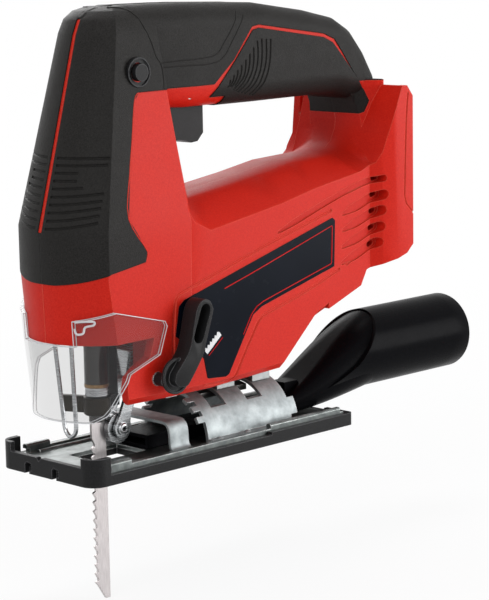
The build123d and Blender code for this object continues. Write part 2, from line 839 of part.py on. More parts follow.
with BuildPart() as motor_pinion:
    with BuildSketch(Plane.YZ.offset(gear_front)):
        with BuildLine(Location((0, motor_axis))):
            Polyline(*tooth_outline(pinion_teeth, 0.85, 0.95, 0.2, 90 + 180 / pinion_teeth),
                     close=True)
        make_face()
        with Locations((0, motor_axis)):
            Circle(shaft_radius, mode=Mode.SUBTRACT)
    extrude(amount=gear_width)
finish(motor_pinion, "motor_pinion")

with BuildPart() as drive_gear:
    with BuildSketch(Plane.YZ.offset(gear_front)):
        with BuildLine(Location((0, gear_axis))):
            Polyline(*tooth_outline(gear_teeth, 0.7, 1.1, 0.2, -90), close=True)
        make_face()
        with Locations((0, gear_axis)):
            Circle(gear_axle_radius + run_fit, mode=Mode.SUBTRACT)
            with PolarLocations(13.5, 4, start_angle=0):
                Circle(3.6, mode=Mode.SUBTRACT)
        with Locations((0, gear_axis - crank_radius)):
            Circle(crank_pin_radius + 2.4)
            Circle(crank_pin_radius, mode=Mode.SUBTRACT)
    extrude(amount=gear_width)
finish(drive_gear, "drive_gear")

roller_start = yoke_front + move_gap
with BuildPart() as crank_pin:
    add(along_x(gear_axis - crank_radius, crank_pin_radius, roller_start,
                gear_front + gear_width))
finish(crank_pin, "crank_pin")

with BuildPart() as crank_roller:
    add(along_x(gear_axis - crank_radius, crank_roller_radius, roller_start,
                roller_start + yoke_thick + 0.6))
    add(along_x(gear_axis - crank_radius, crank_pin_radius, yoke_front, gear_front),
        mode=Mode.SUBTRACT)
finish(crank_roller, "crank_roller")

with BuildPart() as gearbox_plate:
    with BuildSketch(Plane.YZ.offset(gear_plate_front)):
        with Locations((0, (plate_low + plate_high) / 2)):
            Rectangle(2 * plate_half, plate_high - plate_low)
        with Locations((0, motor_axis)):
            Circle(bearing_radius, mode=Mode.SUBTRACT)
        with Locations((0, gear_axis)):
            Circle(gear_axle_radius, mode=Mode.SUBTRACT)
    extrude(amount=gear_plate_thick)
finish(gearbox_plate, "gearbox_plate")

with BuildPart() as gear_axle:
    add(along_x(gear_axis, gear_axle_radius, gear_front, gear_plate_front + gear_plate_thick))
finish(gear_axle, "gear_axle")

# -------------------------------------------------------------------- plunger
with BuildPart() as plunger_guide:
    for low, high in (lower_bush, upper_bush):
        add(along_z(eye_radius, low, high))
    add(block(-eye_radius, -bush_radius - 0.1, -5, 5, lower_bush[0], upper_bush[1]))
    for side in (-1, 1):
        add(along_y(0, guide_pivot, trunnion_radius, side * 5, side * trunnion_reach))
    add(along_z(bush_radius, 0, 200), mode=Mode.SUBTRACT)
finish(plunger_guide, "plunger_guide")

for (low, high), name in ((lower_bush, "lower_bush"), (upper_bush, "upper_bush")):
    with BuildPart() as bush:
        with BuildSketch(Plane.XY.offset(low)):
            Circle(bush_radius)
            Circle(rod_radius + run_fit, mode=Mode.SUBTRACT)
        extrude(amount=high - low)
    finish(bush, name)

rod_foot = 38.0
clamp_shoulder = 36.3
clamp_top = 53.0
with BuildPart() as plunger_rod:
    add(along_z(rod_radius, rod_foot, rod_top))
    add(block(0, yoke_front, -6, 6, yoke_axis - 7, yoke_axis + 7))
    with BuildSketch(Plane.YZ.offset(yoke_front)):
        with Locations((0, yoke_axis)):
            RectangleRounded(2 * yoke_half, 2 * yoke_half_height, 3)
            slot_half = crank_radius + crank_roller_radius + move_gap
            RectangleRounded(2 * slot_half, 2 * yoke_slot_half_height, 4, mode=Mode.SUBTRACT)
    extrude(amount=yoke_thick)
finish(plunger_rod, "plunger_rod")

collar_low = 22.6
collar_high = 30.4
neck_radius = 4.1
tab_angle = 115.0
tab_reach = 16.5
tab_thick = 2.6
shank_half = 3.0
with BuildPart() as clamp_body:
    add(along_z(clamp_radius, clamp_shoulder, clamp_top))
    add(along_z(rod_radius, rod_foot, clamp_top), mode=Mode.SUBTRACT)
    add(along_z(rod_radius, clamp_shoulder - 1.4, clamp_shoulder))
    add(along_z(4.4, collar_high + 0.3, clamp_shoulder - 1.4))
    add(along_z(neck_radius, collar_low - 0.2, collar_high + 0.3))
    add(along_z(3.7, clamp_bottom, collar_low - 0.2))
    add(block(-shank_half - 0.05, shank_half + 0.05, -blade_thick / 2 - 0.02,
              blade_thick / 2 + 0.02, 0, shank_top + 0.1), mode=Mode.SUBTRACT)
finish(clamp_body, "clamp_body")

with BuildPart() as clamp_ring:
    with BuildSketch(Plane.XY.offset(clamp_shoulder - 1.4)):
        Circle(clamp_radius + 0.1)
        Circle(rod_radius, mode=Mode.SUBTRACT)
    extrude(amount=1.4)
finish(clamp_ring, "clamp_ring")

with BuildPart() as clamp_collar:
    with BuildSketch(Plane.XY.offset(collar_low)):
        Circle(collar_radius)
        Circle(neck_radius + run_fit, mode=Mode.SUBTRACT)
    extrude(amount=collar_high - collar_low)
    chamfer(edges().filter_by(GeomType.CIRCLE).sort_by(Axis.Z)[0], 0.6)
    # finger tab on the far side
    with BuildSketch(Plane.XY.offset(collar_low + 0.6)):
        with Locations(Location((0, 0), tab_angle)):
            with Locations(((collar_radius + tab_reach) / 2 - 0.4, 0)):
                Rectangle(tab_reach - collar_radius + 0.8, tab_thick)
    extrude(amount=collar_high - collar_low - 0.6)
finish(clamp_collar, "clamp_collar")

lever_reach = 10.6
with BuildPart() as release_lever:
    add(block(clamp_radius + 0.4, lever_reach, -1.7, 1.7, collar_high - 4, clamp_top - 1.5))
    add(block(3.5, lever_reach, -2.6, 2.6, collar_high - 5, collar_high))
    add(along_z(collar_radius, 0, collar_high), mode=Mode.SUBTRACT)
    add(along_z(clamp_radius + 0.3, collar_high, 60), mode=Mode.SUBTRACT)
finish(release_lever, "release_lever")

tooth_count = 16
first_tooth = 11.5
with BuildPart() as saw_blade:
    back = blade_back
    outline = [(back, clamp_bottom - 0.2), (back, blade_tip), (back - 2.4, blade_tip)]
    last = first_tooth - tooth_count * tooth_pitch
    outline += [(-back + 1.5, last - 1.0)]
    for tooth in range(tooth_count, 0, -1):
        tip = first_tooth - tooth * tooth_pitch + 0.6
        outline += [(-back, tip), (-back + tooth_depth, tip + 0.7),
                    (-back + tooth_depth, tip + 1.6)]
    outline += [(-back, first_tooth + 1.0), (-back, clamp_bottom - 0.2)]
    outline += [(-shank_half, clamp_bottom - 0.2), (-shank_half, shank_top)]
    outline += [(shank_half, shank_top), (shank_half, clamp_bottom - 0.2)]
    with BuildSketch(Plane.XZ):
        with BuildLine():
            Polyline(*outline, close=True)
        make_face()
    extrude(amount=blade_thick / 2, both=True)
finish(saw_blade, "saw_blade")

# ------------------------------------------------------ roller and orbital fork
with BuildPart() as guide_roller:
    with BuildSketch(Plane.XZ):
        with Locations((roller_x, roller_height)):
            Circle(roller_radius)
    extrude(amount=roller_width / 2, both=True)
    with BuildSketch(Plane.XZ):
        with Locations((roller_x, roller_height)):
            Circle(roller_radius + 1)
            Circle(groove_radius, mode=Mode.SUBTRACT)
    extrude(amount=blade_thick / 2 + 0.3, both=True, mode=Mode.SUBTRACT)
    add(along_y(roller_x, roller_height, 2.0 + run_fit, -10, 10), mode=Mode.SUBTRACT)
finish(guide_roller, "guide_roller")

fork_inside = roller_width / 2 + 0.5
fork_edge = [
    (5.8, 17.4), (13.2, 14.4), (14.8, 22.0), (18.8, 30.0), (25.0, 45.0), (15.4, 48.0),
    (12.2, 34.0), (11.2, 28.0), (8.6, 22.0),
]
with BuildPart() as pendulum_fork:
    with BuildSketch(Plane.XZ):
        with BuildLine():
            Polyline(*fork_edge, close=True)
        make_face()
        with Locations((roller_x, roller_height)):
            Circle(4.2)
        with Locations((fork_pin_x, fork_pin_z)):
            Circle(5.0)
    extrude(amount=fork_inside + fork_arm, both=True)
    add(block(-5, 40, -fork_inside, fork_inside, -5, fork_pin_z - 9), mode=Mode.SUBTRACT)
    add(block(-5, 15.5, -fork_inside, fork_inside, 0, 60), mode=Mode.SUBTRACT)
    add(along_y(fork_pin_x, fork_pin_z, fork_pin_radius + run_fit, -20, 20),
        mode=Mode.SUBTRACT)
    add(along_y(roller_x, roller_height, 2.0, -20, 20), mode=Mode.SUBTRACT)
finish(pendulum_fork, "pendulum_fork")

with BuildPart() as roller_axle:
    add(along_y(roller_x, roller_height, 2.0, -fork_half - 0.5, fork_half + 0.5))
    for side in (-1, 1):
        outside = side * (fork_inside + fork_arm)
        add(along_y(roller_x, roller_height, 2.8, outside, outside + side * 0.7))
finish(roller_axle, "roller_axle")

# -------------------------------------------------------------------- controls
lever_base = body_half + 0.5


def bar_outline(start, end, half_width):
    """Round-ended bar between two points of a sketch."""
    across, along = end[0] - start[0], end[1] - start[1]
    middle = ((start[0] + end[0]) / 2, (start[1] + end[1]) / 2)
    turn = degrees(atan2(along, across))
    with BuildSketch() as result:
        with Locations(Location(middle, turn)):
            SlotCenterToCenter(sqrt(across**2 + along**2), 2 * half_width)
    return result.sketch


with BuildPart() as selector_lever:
    with BuildSketch(Plane.XZ.offset(lever_base)):
        with Locations((lever_x, lever_z)):
            Circle(hub_radius)
    extrude(amount=5.0)
    with BuildSketch(Plane.XZ.offset(lever_base + 2.0)):
        add(bar_outline((lever_x + 3.5, lever_z - 0.8), lever_knee, lever_half_width))
        add(bar_outline(lever_knee, lever_end, lever_half_width))
    extrude(amount=lever_rise - 2.0)
    with BuildSketch(Plane.XZ.offset(lever_base)):
        slot_start = (lever_end[0] - 0.37 * lever_slot[0], lever_end[1] - lever_slot[0])
        add(bar_outline(slot_start, (lever_end[0] - 0.7, lever_end[1] - 2.0),
                        lever_slot[1] / 2))
    extrude(amount=30, mode=Mode.SUBTRACT)
finish(selector_lever, "selector_lever")

with BuildPart() as selector_shaft:
    add(along_y(lever_x, lever_z, lever_shaft_radius, -lever_base, -bay_half + 2.6))
    add(along_y(lever_x, lever_z, lever_shaft_radius + 1.8, -bay_half + play,
                -bay_half + 2.6))
finish(selector_shaft, "selector_shaft")

trigger_top = 159.0
spring_radius = 2.5
spring_half = 3.0
with BuildPart() as trigger:
    with BuildSketch(Plane.XZ):
        with BuildLine():
            Line((trigger_front, trigger_bottom + 1.5), (trigger_front, 157.0))
            Line((trigger_front, 157.0), (41.0, trigger_top))
            Line((41.0, trigger_top), (trigger_rear - 3, trigger_top))
            Line((trigger_rear - 3, trigger_top), (trigger_rear, trigger_top - 3))
            Line((trigger_rear, trigger_top - 3), (trigger_rear, trigger_bottom + 4))
            Line((trigger_rear, trigger_bottom + 4), (trigger_rear - 3.5, trigger_bottom + 0.4))
            Line((trigger_rear - 3.5, trigger_bottom + 0.4), (52.6, trigger_bottom))
            ThreePointArc((52.6, trigger_bottom), (46.0, trigger_bottom + 1.6),
                          (trigger_front, trigger_bottom + 1.5))
        make_face()
    extrude(amount=trigger_half, both=True)
    add(along_y(*trigger_pivot, trigger_pin_radius + run_fit, -20, 20), mode=Mode.SUBTRACT)
    # pocket of the return spring, coiled round the pin
    add(along_y(*trigger_pivot, spring_radius + 0.7, -spring_half - 0.4, spring_half + 0.4),
        mode=Mode.SUBTRACT)
finish(trigger, "trigger")

with BuildPart() as trigger_spring:
    with BuildLine() as coil:
        Helix(pitch=0.4 * spring_half, height=2 * spring_half, radius=spring_radius,
              center=(trigger_pivot[0], -spring_half, trigger_pivot[1]), direction=(0, 1, 0))
    with BuildSketch(Plane(coil.line @ 0, z_dir=coil.line % 0)):
        RegularPolygon(0.4, 6)
    sweep(is_frenet=True)
finish(trigger_spring, "trigger_spring")

with BuildPart() as lock_button:
    add(along_y(button_x, button_z, button_radius, -button_face, -11.5))
    add(along_y(button_x, button_z, button_flange, -15.6, -14.2))
finish(lock_button, "lock_button")

# ------------------------------------------------------------------ clear guard
guard_gap = 0.25
guard_thick = 1.5
guard_window = 15.7
guard_foot = -24.4       # front of the guard at its lower edge
guard_edge = [
    (-45.0, 24.4), (-19.5, 24.6), (-15.5, 27.6), (-13.5, 31.0), (-10.2, 38.5), (-7.1, 45.0),
    (10.0, 51.0), (14.3, 62.6), (13.2, 64.8), (-14.4, 71.9), (-24.6, 68.4), (-45.0, 68.4),
]


def guard_shell(gap):
    """Form of the nose, grown by the gap, that the guard wraps; tapers below the lip."""
    rounder = 4.0
    with BuildPart() as result:
        for height, front, bow in (
            (10.0, guard_foot - 1.6, lip_bow - rounder),
            (24.0, guard_foot, lip_bow - rounder),
            (nose_lip, lip_front, lip_bow),
            (nose_bend - 20, nose_front, nose_bow),
        ):
            with BuildSketch(Plane.XY.offset(height)):
                add(nose_plan(front - gap, body_half + gap, 60.0, bow + gap, 300.0))
                make_face()
        loft(ruled=True)
    return result.part


with BuildPart() as clear_guard:
    add(guard_shell(guard_gap + guard_thick))
    add(guard_shell(guard_gap), mode=Mode.SUBTRACT)
    add(side_prism(guard_edge), mode=Mode.INTERSECT)
    add(block(-60, 0, -guard_window, guard_window, nose_lip, 100), mode=Mode.SUBTRACT)
    add(block(30, 90, -60, 60, 0, 100), mode=Mode.SUBTRACT)
finish(clear_guard, "clear_guard")

# ------------------------------------------------------------------------ shoe
slot_half = 9.5
slot_front = -9.0
slot_rear = duct_front - 1.0
plate_side = shoe_half - rail_width - 0.2
plate_front_edge = shoe_front + front_wall + 0.2
with BuildPart() as overshoe:
    with BuildSketch():
        with Locations(((shoe_front + shoe_rear) / 2, 0)):
            Rectangle(shoe_rear - shoe_front, 2 * shoe_half)
        fillet(vertices().group_by(Axis.X)[0], 7.0)
        fillet(vertices().group_by(Axis.X)[-1], 2.5)
    extrude(amount=post_top)
    inside = shoe_half - rail_width
    # open middle, leaving the floor, the rim and the corner posts
    add(block(shoe_front + front_wall, shoe_rear - 2.4, -inside, inside, sole_floor, 50),
        mode=Mode.SUBTRACT)
    add(block(shoe_front + post_long, shoe_rear + 1, -50, 50, rear_rim_top, 50),
        mode=Mode.SUBTRACT)
    add(block(shoe_front + post_long, raised_from - 2, -50, 50, rim_top, 50),
        mode=Mode.SUBTRACT)
    add(block(shoe_front - 1, shoe_rear, -shoe_half + post_wide, shoe_half - post_wide,
              front_wall_top, 50), mode=Mode.SUBTRACT)
    add(block(slot_front, slot_rear, -slot_half, slot_half, -1, 10), mode=Mode.SUBTRACT)
    # gap in the rear rim for the dust duct
    add(block(shoe_rear - 5, shoe_rear + 1, -14.5, 14.5, plate_top, 50), mode=Mode.SUBTRACT)
    # sight notch on the cutting line and two fence hooks through the front wall
    with BuildSketch(Plane.YZ.offset(shoe_front - 1)):
        with BuildLine():
            Polyline((1.8, 9.0), (4.3, 6.4), (6.8, 9.0), close=True)
        make_face()
        for y in hook_places:
            with BuildLine():
                Polyline((y, -1.0), (y, 1.4), (y - 1.6, 1.4), (y - 1.6, 4.4), (y + 1.6, 5.2),
                         (y + 2.8, 4.2), (y + 2.8, -1.0), close=True)
            make_face()
    extrude(amount=front_wall + 1.4, mode=Mode.SUBTRACT)
finish(overshoe, "overshoe")

with BuildPart() as shoe_plate:
    add(block(plate_front_edge, shoe_rear - 2.6, -plate_side, plate_side, sole_floor,
              plate_top))
    for side in (-1, 1):
        outer, inner = side * plate_side, side * (plate_side - flange_width)
        add(block(plate_front_edge + post_long, shoe_rear - 4, outer, inner, plate_top,
                  flange_top))
        for x0, x1 in ((-19.0, -6.0), (raised_from, shoe_rear - 6)):
            add(block(x0, x1, outer, inner, flange_top, raised_flange_top))
    add(block(slot_front, slot_rear, -slot_half, slot_half, -1, 10), mode=Mode.SUBTRACT)
    chamfer(edges().filter_by(Axis.X).group_by(Axis.Z)[-1], 0.7)
finish(shoe_plate, "shoe_plate")


def ring_sector(start, end, first, last, outer, inner):
    """A piece of a ring about the bevel axis between two angles from vertical."""
    reach = 2 * outer
    with BuildPart() as result:
        with BuildSketch(Plane.YZ.offset(start)):
            with Locations((0, bevel_axis)):
                Circle(outer)
                Circle(inner, mode=Mode.SUBTRACT)
            with BuildLine():
                a, b = radians(first), radians(last)
                Polyline((0, bevel_axis), (reach * sin(a), bevel_axis + reach * cos(a)),
                         (reach * sin(b), bevel_axis + reach * cos(b)), close=True)
            make_face(mode=Mode.INTERSECT)
        extrude(amount=end - start)
    return result.part


window_low = bevel_axis + arch_outer * cos(radians(window_half_angle))
window_half = arch_outer * sin(radians(window_half_angle))
foot_outer = plate_side - flange_width - 0.3
tooth_angles = (31.0, 46.0, 61.0)
with BuildPart() as bevel_bracket:
    with BuildSketch(Plane.YZ.offset(arch_front)):
        with Locations((0, bevel_axis)):
            Circle(arch_outer)
            Circle(arch_inner, mode=Mode.SUBTRACT)
        with Locations((0, plate_top + 25)):
            Rectangle(100, 50, mode=Mode.INTERSECT)
    extrude(amount=arch_rear - arch_front)
    for x0, x1 in windows:
        add(block(x0, x1, -window_half, window_half, window_low, 50), mode=Mode.SUBTRACT)
    for side in (-1, 1):
        add(block(arch_front, arch_rear, side * (arch_outer - 0.6), side * foot_outer,
                  plate_top, plate_top + arch_sheet))
        for angle in tooth_angles:
            add(ring_sector(arch_front - arch_lug, arch_front, side * (angle - 4),
                            side * (angle + 4), arch_outer, arch_inner))
        add(ring_sector(arch_rear, arch_rear + arch_lug, side * 58, side * 80, arch_outer,
                        arch_inner))
finish(bevel_bracket, "bevel_bracket")

strap_front = 21.6
strap_width = 6.2
strap_sheet = 1.5
strap_half = foot_outer
strap_top = 18.2
with BuildPart() as bridge_strap:
    with BuildSketch(Plane.YZ.offset(strap_front)):
        with BuildLine():
            Polyline(
                (-strap_half, plate_top), (-strap_half, strap_top - 2.5),
                (-strap_half + 2.5, strap_top - 0.6), (0, strap_top),
                (strap_half - 2.5, strap_top - 0.6), (strap_half, strap_top - 2.5),
                (strap_half, plate_top), (strap_half - strap_sheet, plate_top),
                (strap_half - strap_sheet, strap_top - 3.2),
                (strap_half - 3.2, strap_top - 2.1), (0, strap_top - 1.5),
                (-strap_half + 3.2, strap_top - 2.1),
                (-strap_half + strap_sheet, strap_top - 3.2),
                (-strap_half + strap_sheet, plate_top), close=True,
            )
        make_face()
    extrude(amount=strap_width)
    for side in (-1, 1):
        add(block(strap_front, strap_front + strap_width + 6, side * strap_half,
                  side * (strap_half - 5), plate_top, plate_top + strap_sheet))
finish(bridge_strap, "bridge_strap")

# ------------------------------------------------------------------- dust port
duct_low = plate_top + play


def duct_form(inset):
    """Flat duct that swells into a round socket."""
    flat = duct_low + duct_height / 2
    stations = (
        (106.0, flat, 2 * duct_half, duct_height, 2.6),
        (119.0, 11.0, 23.0, 12.0, 5.0),
        (145.0, 19.6, 31.0, 26.0, 12.0),
        (tube_front, tube_axis, 2 * (tube_radius - collar_step),
         2 * (tube_radius - collar_step), tube_radius - collar_step - 0.05),
    )
    with BuildPart() as result:
        for x, middle, wide, tall, corner in stations:
            with BuildSketch(Plane.YZ.offset(x)):
                with Locations((0, middle)):
                    RectangleRounded(wide - 2 * inset, tall - 2 * inset, corner - inset)
        loft()
    return result.part


with BuildPart() as dust_duct:
    add(block(duct_front, 106.0, -duct_half, duct_half, duct_low, duct_low + duct_height))
    add(duct_form(0))
    add(block(112.0, 121.0, -4, 4, 12, 19.0))
    add(duct_form(duct_wall), mode=Mode.SUBTRACT)
    add(block(duct_front - 1, 106.0, -duct_half + duct_wall, duct_half - duct_wall,
              duct_low + duct_wall, duct_low + duct_height - duct_wall), mode=Mode.SUBTRACT)
    # spigot that the round tube is pushed over
    with BuildSketch(Plane.YZ.offset(tube_front - 4)):
        with Locations((0, tube_axis)):
            Circle(spigot_radius)
            Circle(spigot_radius - duct_wall, mode=Mode.SUBTRACT)
    extrude(amount=4 + spigot_long)
finish(dust_duct, "dust_duct")

with BuildPart() as hose_tube:
    with BuildSketch(Plane.YZ.offset(tube_front)):
        with Locations((0, tube_axis)):
            Circle(tube_radius)
            Circle(spigot_radius, mode=Mode.SUBTRACT)
    extrude(amount=tube_rear - tube_front)
    with BuildSketch(Plane.YZ.offset(tube_rear - socket_long)):
        with Locations((0, tube_axis)):
            Circle(socket_radius)
    extrude(amount=socket_long, mode=Mode.SUBTRACT)
    mouth = edges().filter_by(GeomType.CIRCLE).group_by(Axis.X)[-1]
    chamfer(mouth.sort_by(SortBy.RADIUS)[-1], 0.8)
finish(hose_tube, "hose_tube")
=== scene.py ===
import bpy
import bmesh
import json
from math import cos, pi, radians, sin, sqrt
from mathutils import Matrix, Vector
from mathutils.bvhtree import BVHTree

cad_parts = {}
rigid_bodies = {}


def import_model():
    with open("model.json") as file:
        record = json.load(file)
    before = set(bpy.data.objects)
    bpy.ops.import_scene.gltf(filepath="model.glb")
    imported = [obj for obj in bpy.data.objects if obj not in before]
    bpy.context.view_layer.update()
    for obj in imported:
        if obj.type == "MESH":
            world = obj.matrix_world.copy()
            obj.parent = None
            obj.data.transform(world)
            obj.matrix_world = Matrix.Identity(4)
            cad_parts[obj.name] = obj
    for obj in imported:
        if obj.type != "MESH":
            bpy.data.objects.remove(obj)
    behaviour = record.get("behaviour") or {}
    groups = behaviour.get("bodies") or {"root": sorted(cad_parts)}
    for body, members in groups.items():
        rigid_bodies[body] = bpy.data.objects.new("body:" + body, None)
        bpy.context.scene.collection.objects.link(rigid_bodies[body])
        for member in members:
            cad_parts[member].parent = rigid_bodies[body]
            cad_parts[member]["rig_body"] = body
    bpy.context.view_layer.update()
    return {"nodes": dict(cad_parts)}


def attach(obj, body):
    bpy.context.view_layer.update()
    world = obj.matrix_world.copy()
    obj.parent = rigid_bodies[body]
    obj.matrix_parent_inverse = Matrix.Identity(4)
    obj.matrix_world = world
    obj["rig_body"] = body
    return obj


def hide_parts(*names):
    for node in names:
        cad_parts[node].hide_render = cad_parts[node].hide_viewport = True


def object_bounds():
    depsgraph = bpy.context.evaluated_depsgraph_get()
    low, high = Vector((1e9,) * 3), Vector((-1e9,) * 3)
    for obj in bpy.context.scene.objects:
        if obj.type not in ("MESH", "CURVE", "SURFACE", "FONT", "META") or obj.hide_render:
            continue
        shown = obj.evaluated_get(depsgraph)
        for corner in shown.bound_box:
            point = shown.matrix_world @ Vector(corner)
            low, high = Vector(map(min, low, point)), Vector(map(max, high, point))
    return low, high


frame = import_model()
MM = 0.001


# ------------------------------------------------------------------ node help
class Nodes:
    """Adds and links the nodes of one material."""

    def __init__(self, name):
        self.material = bpy.data.materials.new(name)
        self.material.use_nodes = True
        self.tree = self.material.node_tree
        self.tree.nodes.clear()

    def add(self, kind, **settings):
        node = self.tree.nodes.new(kind)
        for key, value in settings.items():
            setattr(node, key, value)
        return node

    def link(self, start, end):
        self.tree.links.new(start, end)

    def place(self):
        """Coordinates of the piece itself, in metres."""
        if not hasattr(self, "coordinates"):
            self.coordinates = self.add("ShaderNodeTexCoord").outputs["Object"]
        return self.coordinates

    def stretched(self, scale):
        mapping = self.add("ShaderNodeMapping")
        mapping.inputs["Scale"].default_value = scale
        self.link(self.place(), mapping.inputs["Vector"])
        return mapping.outputs["Vector"]

    def noise(self, scale, detail=3.0, roughness=0.5, vector=None):
        noise = self.add("ShaderNodeTexNoise")
        noise.inputs["Scale"].default_value = scale
        noise.inputs["Detail"].default_value = detail
        noise.inputs["Roughness"].default_value = roughness
        self.link(vector or self.place(), noise.inputs["Vector"])
        return noise.outputs["Fac"]

    def ramp(self, value, low, high, start=0.3, end=0.7):
        ramp = self.add("ShaderNodeValToRGB")
        first, last = ramp.color_ramp.elements
        first.position, last.position = start, end
        first.color = (*low, 1)
        last.color = (*high, 1)
        self.link(value, ramp.inputs["Fac"])
        return ramp.outputs["Color"]

    def span(self, value, low, high, start=0.0, end=1.0):
        span = self.add("ShaderNodeMapRange")
        span.inputs["From Min"].default_value = start
        span.inputs["From Max"].default_value = end
        span.inputs["To Min"].default_value = low
        span.inputs["To Max"].default_value = high
        self.link(value, span.inputs["Value"])
        return span.outputs["Result"]

    def blend(self, amount, first, second):
        mix = self.add("ShaderNodeMix", data_type="RGBA")
        self.link(amount, mix.inputs["Factor"])
        self.link(first, mix.inputs["A"])
        self.link(second, mix.inputs["B"])
        return mix.outputs["Result"]

    def edge_wear_and_highlight(self, radius, low=0.02, high=0.25):
        """0 on flat stretches, 1 along the corners, where the colour is partly wear and partly
        painted highlight.
        """
        soft = self.add("ShaderNodeBevel", samples=4)
        soft.inputs["Radius"].default_value = radius
        plain = self.add("ShaderNodeNewGeometry")
        product = self.add("ShaderNodeVectorMath", operation="DOT_PRODUCT")
        self.link(soft.outputs["Normal"], product.inputs[0])
        self.link(plain.outputs["Normal"], product.inputs[1])
        return self.span(product.outputs["Value"], 1.0, 0.0, 1.0 - high, 1.0 - low)

    def normal(self, height, depth, edge):
        """Fine relief over corners that are rounded off by the edge radius."""
        bump = self.add("ShaderNodeBump")
        bump.inputs["Strength"].default_value = 1.0
        bump.inputs["Distance"].default_value = depth
        self.link(height, bump.inputs["Height"])
        if edge > 0:
            soft = self.add("ShaderNodeBevel", samples=4)
            soft.inputs["Radius"].default_value = edge
            self.link(soft.outputs["Normal"], bump.inputs["Normal"])
        return bump.outputs["Normal"]

    def surface(self, colour, roughness, normal, **values):
        """Principled shader; plain values go to the sockets of those names."""
        shader = self.add("ShaderNodeBsdfPrincipled")
        for key, value in values.items():
            shader.inputs[key.replace("_", " ")].default_value = value
        self.link(colour, shader.inputs["Base Color"])
        self.link(roughness, shader.inputs["Roughness"])
        self.link(normal, shader.inputs["Normal"])
        output = self.add("ShaderNodeOutputMaterial")
        self.link(shader.outputs["BSDF"], output.inputs["Surface"])
        return self.material


# ------------------------------------------------------------------- finishes
def moulded_plastic(name, dark, light, rough, grain=1.0, edge=0.0006, wear_and_highlight=None,
                    specular=0.35):
    """Spark-eroded plastic: speckled, with a fine grain and soft corners; where a corner colour
    is given, the corners are lighter, partly wear and partly painted highlight.
    """
    n = Nodes(name)
    colour = n.ramp(n.noise(1400, 4, 0.7), dark, light, 0.32, 0.68)
    # lighter corners: partly wear, partly painted highlight
    if wear_and_highlight:
        colour = n.blend(n.edge_wear_and_highlight(edge), colour, n.ramp(n.noise(300), wear_and_highlight, wear_and_highlight))
    relief = n.noise(2600, 2, 0.6)
    return n.surface(
        colour, n.span(n.noise(120, 3), rough - 0.05, rough + 0.06),
        n.normal(relief, 0.00004 * grain, edge), Specular_IOR_Level=specular,
    )


def soft_rubber(name):
    """Soft overmould: matt, with a fine leathery grain."""
    n = Nodes(name)
    colour = n.ramp(n.noise(1500, 4, 0.7), (0.0055, 0.005, 0.0045), (0.021, 0.0195, 0.0182))
    relief = n.noise(2300, 3, 0.65)
    return n.surface(
        colour, n.span(n.noise(150, 3), 0.44, 0.56), n.normal(relief, 0.00016, 0.0007),
        Specular_IOR_Level=0.11,
    )


def glossy_film(name, dark, light):
    """Printed film: smooth and slightly wavy."""
    n = Nodes(name)
    colour = n.ramp(n.noise(40, 2), dark, light)
    return n.surface(
        colour, n.span(n.noise(200, 2), 0.22, 0.30), n.normal(n.noise(300, 1), 0.00001, 0.0002),
        Specular_IOR_Level=0.05,
    )


def sheet_metal(name, dark, light, rough, spangle=0.3):
    """Zinc-plated sheet: cloudy spangle, rolling streaks, and bright corners that are partly wear
    and partly painted highlight.
    """
    n = Nodes(name)
    clouds = n.ramp(n.noise(180, 5, 0.6), dark, light, 0.25, 0.75)
    streaks = n.noise(90, 3, vector=n.stretched((1, 9, 9)))
    # bright corners: partly wear, partly painted highlight
    colour = n.blend(n.edge_wear_and_highlight(0.0006, 0.02, 0.35), clouds,
                     n.ramp(streaks, light, (0.93, 0.93, 0.92)))
    relief = n.noise(420, 4, 0.6)
    return n.surface(
        colour, n.span(n.noise(240, 4), rough - 0.08, rough + 0.12),
        n.normal(relief, 0.00002 * spangle, 0.0005), Metallic=1.0,
    )


def turned_steel(name, dark, light, rough, rings=(0.2, 0.2, 14)):
    """Turned or ground steel: fine lines round or along the piece."""
    n = Nodes(name)
    lines = n.noise(420, 3, 0.6, vector=n.stretched(rings))
    colour = n.ramp(lines, dark, light)
    return n.surface(
        colour, n.span(lines, rough - 0.05, rough + 0.1), n.normal(lines, 0.000012, 0.0004),
        Metallic=1.0,
    )


def oiled_bronze(name):
    n = Nodes(name)
    colour = n.ramp(n.noise(500, 4), (0.20, 0.125, 0.055), (0.42, 0.27, 0.13))
    return n.surface(colour, n.span(n.noise(300), 0.3, 0.5),
                     n.normal(n.noise(900), 0.00001, 0.0003), Metallic=1.0)


def clear_plastic(name, cover, tint):
    """Clear moulding that lets most light through, a little hazy."""
    n = Nodes(name)
    low = tuple(0.9 * c for c in tint)
    return n.surface(
        n.ramp(n.noise(60, 3), low, tint), n.span(n.noise(90, 3), 0.05, 0.12),
        n.normal(n.noise(140, 2), 0.00002, 0.0003), Alpha=cover, Specular_IOR_Level=0.8,
    )


def copper_wire(name):
    n = Nodes(name)
    wave = n.add("ShaderNodeTexWave", wave_type="BANDS", bands_direction="X")
    wave.inputs["Scale"].default_value = 900
    n.link(n.place(), wave.inputs["Vector"])
    colour = n.ramp(wave.outputs["Fac"], (0.25, 0.07, 0.03), (0.62, 0.25, 0.11))
    return n.surface(colour, n.span(n.noise(200), 0.3, 0.45),
                     n.normal(wave.outputs["Fac"], 0.0001, 0.0), Metallic=0.9)
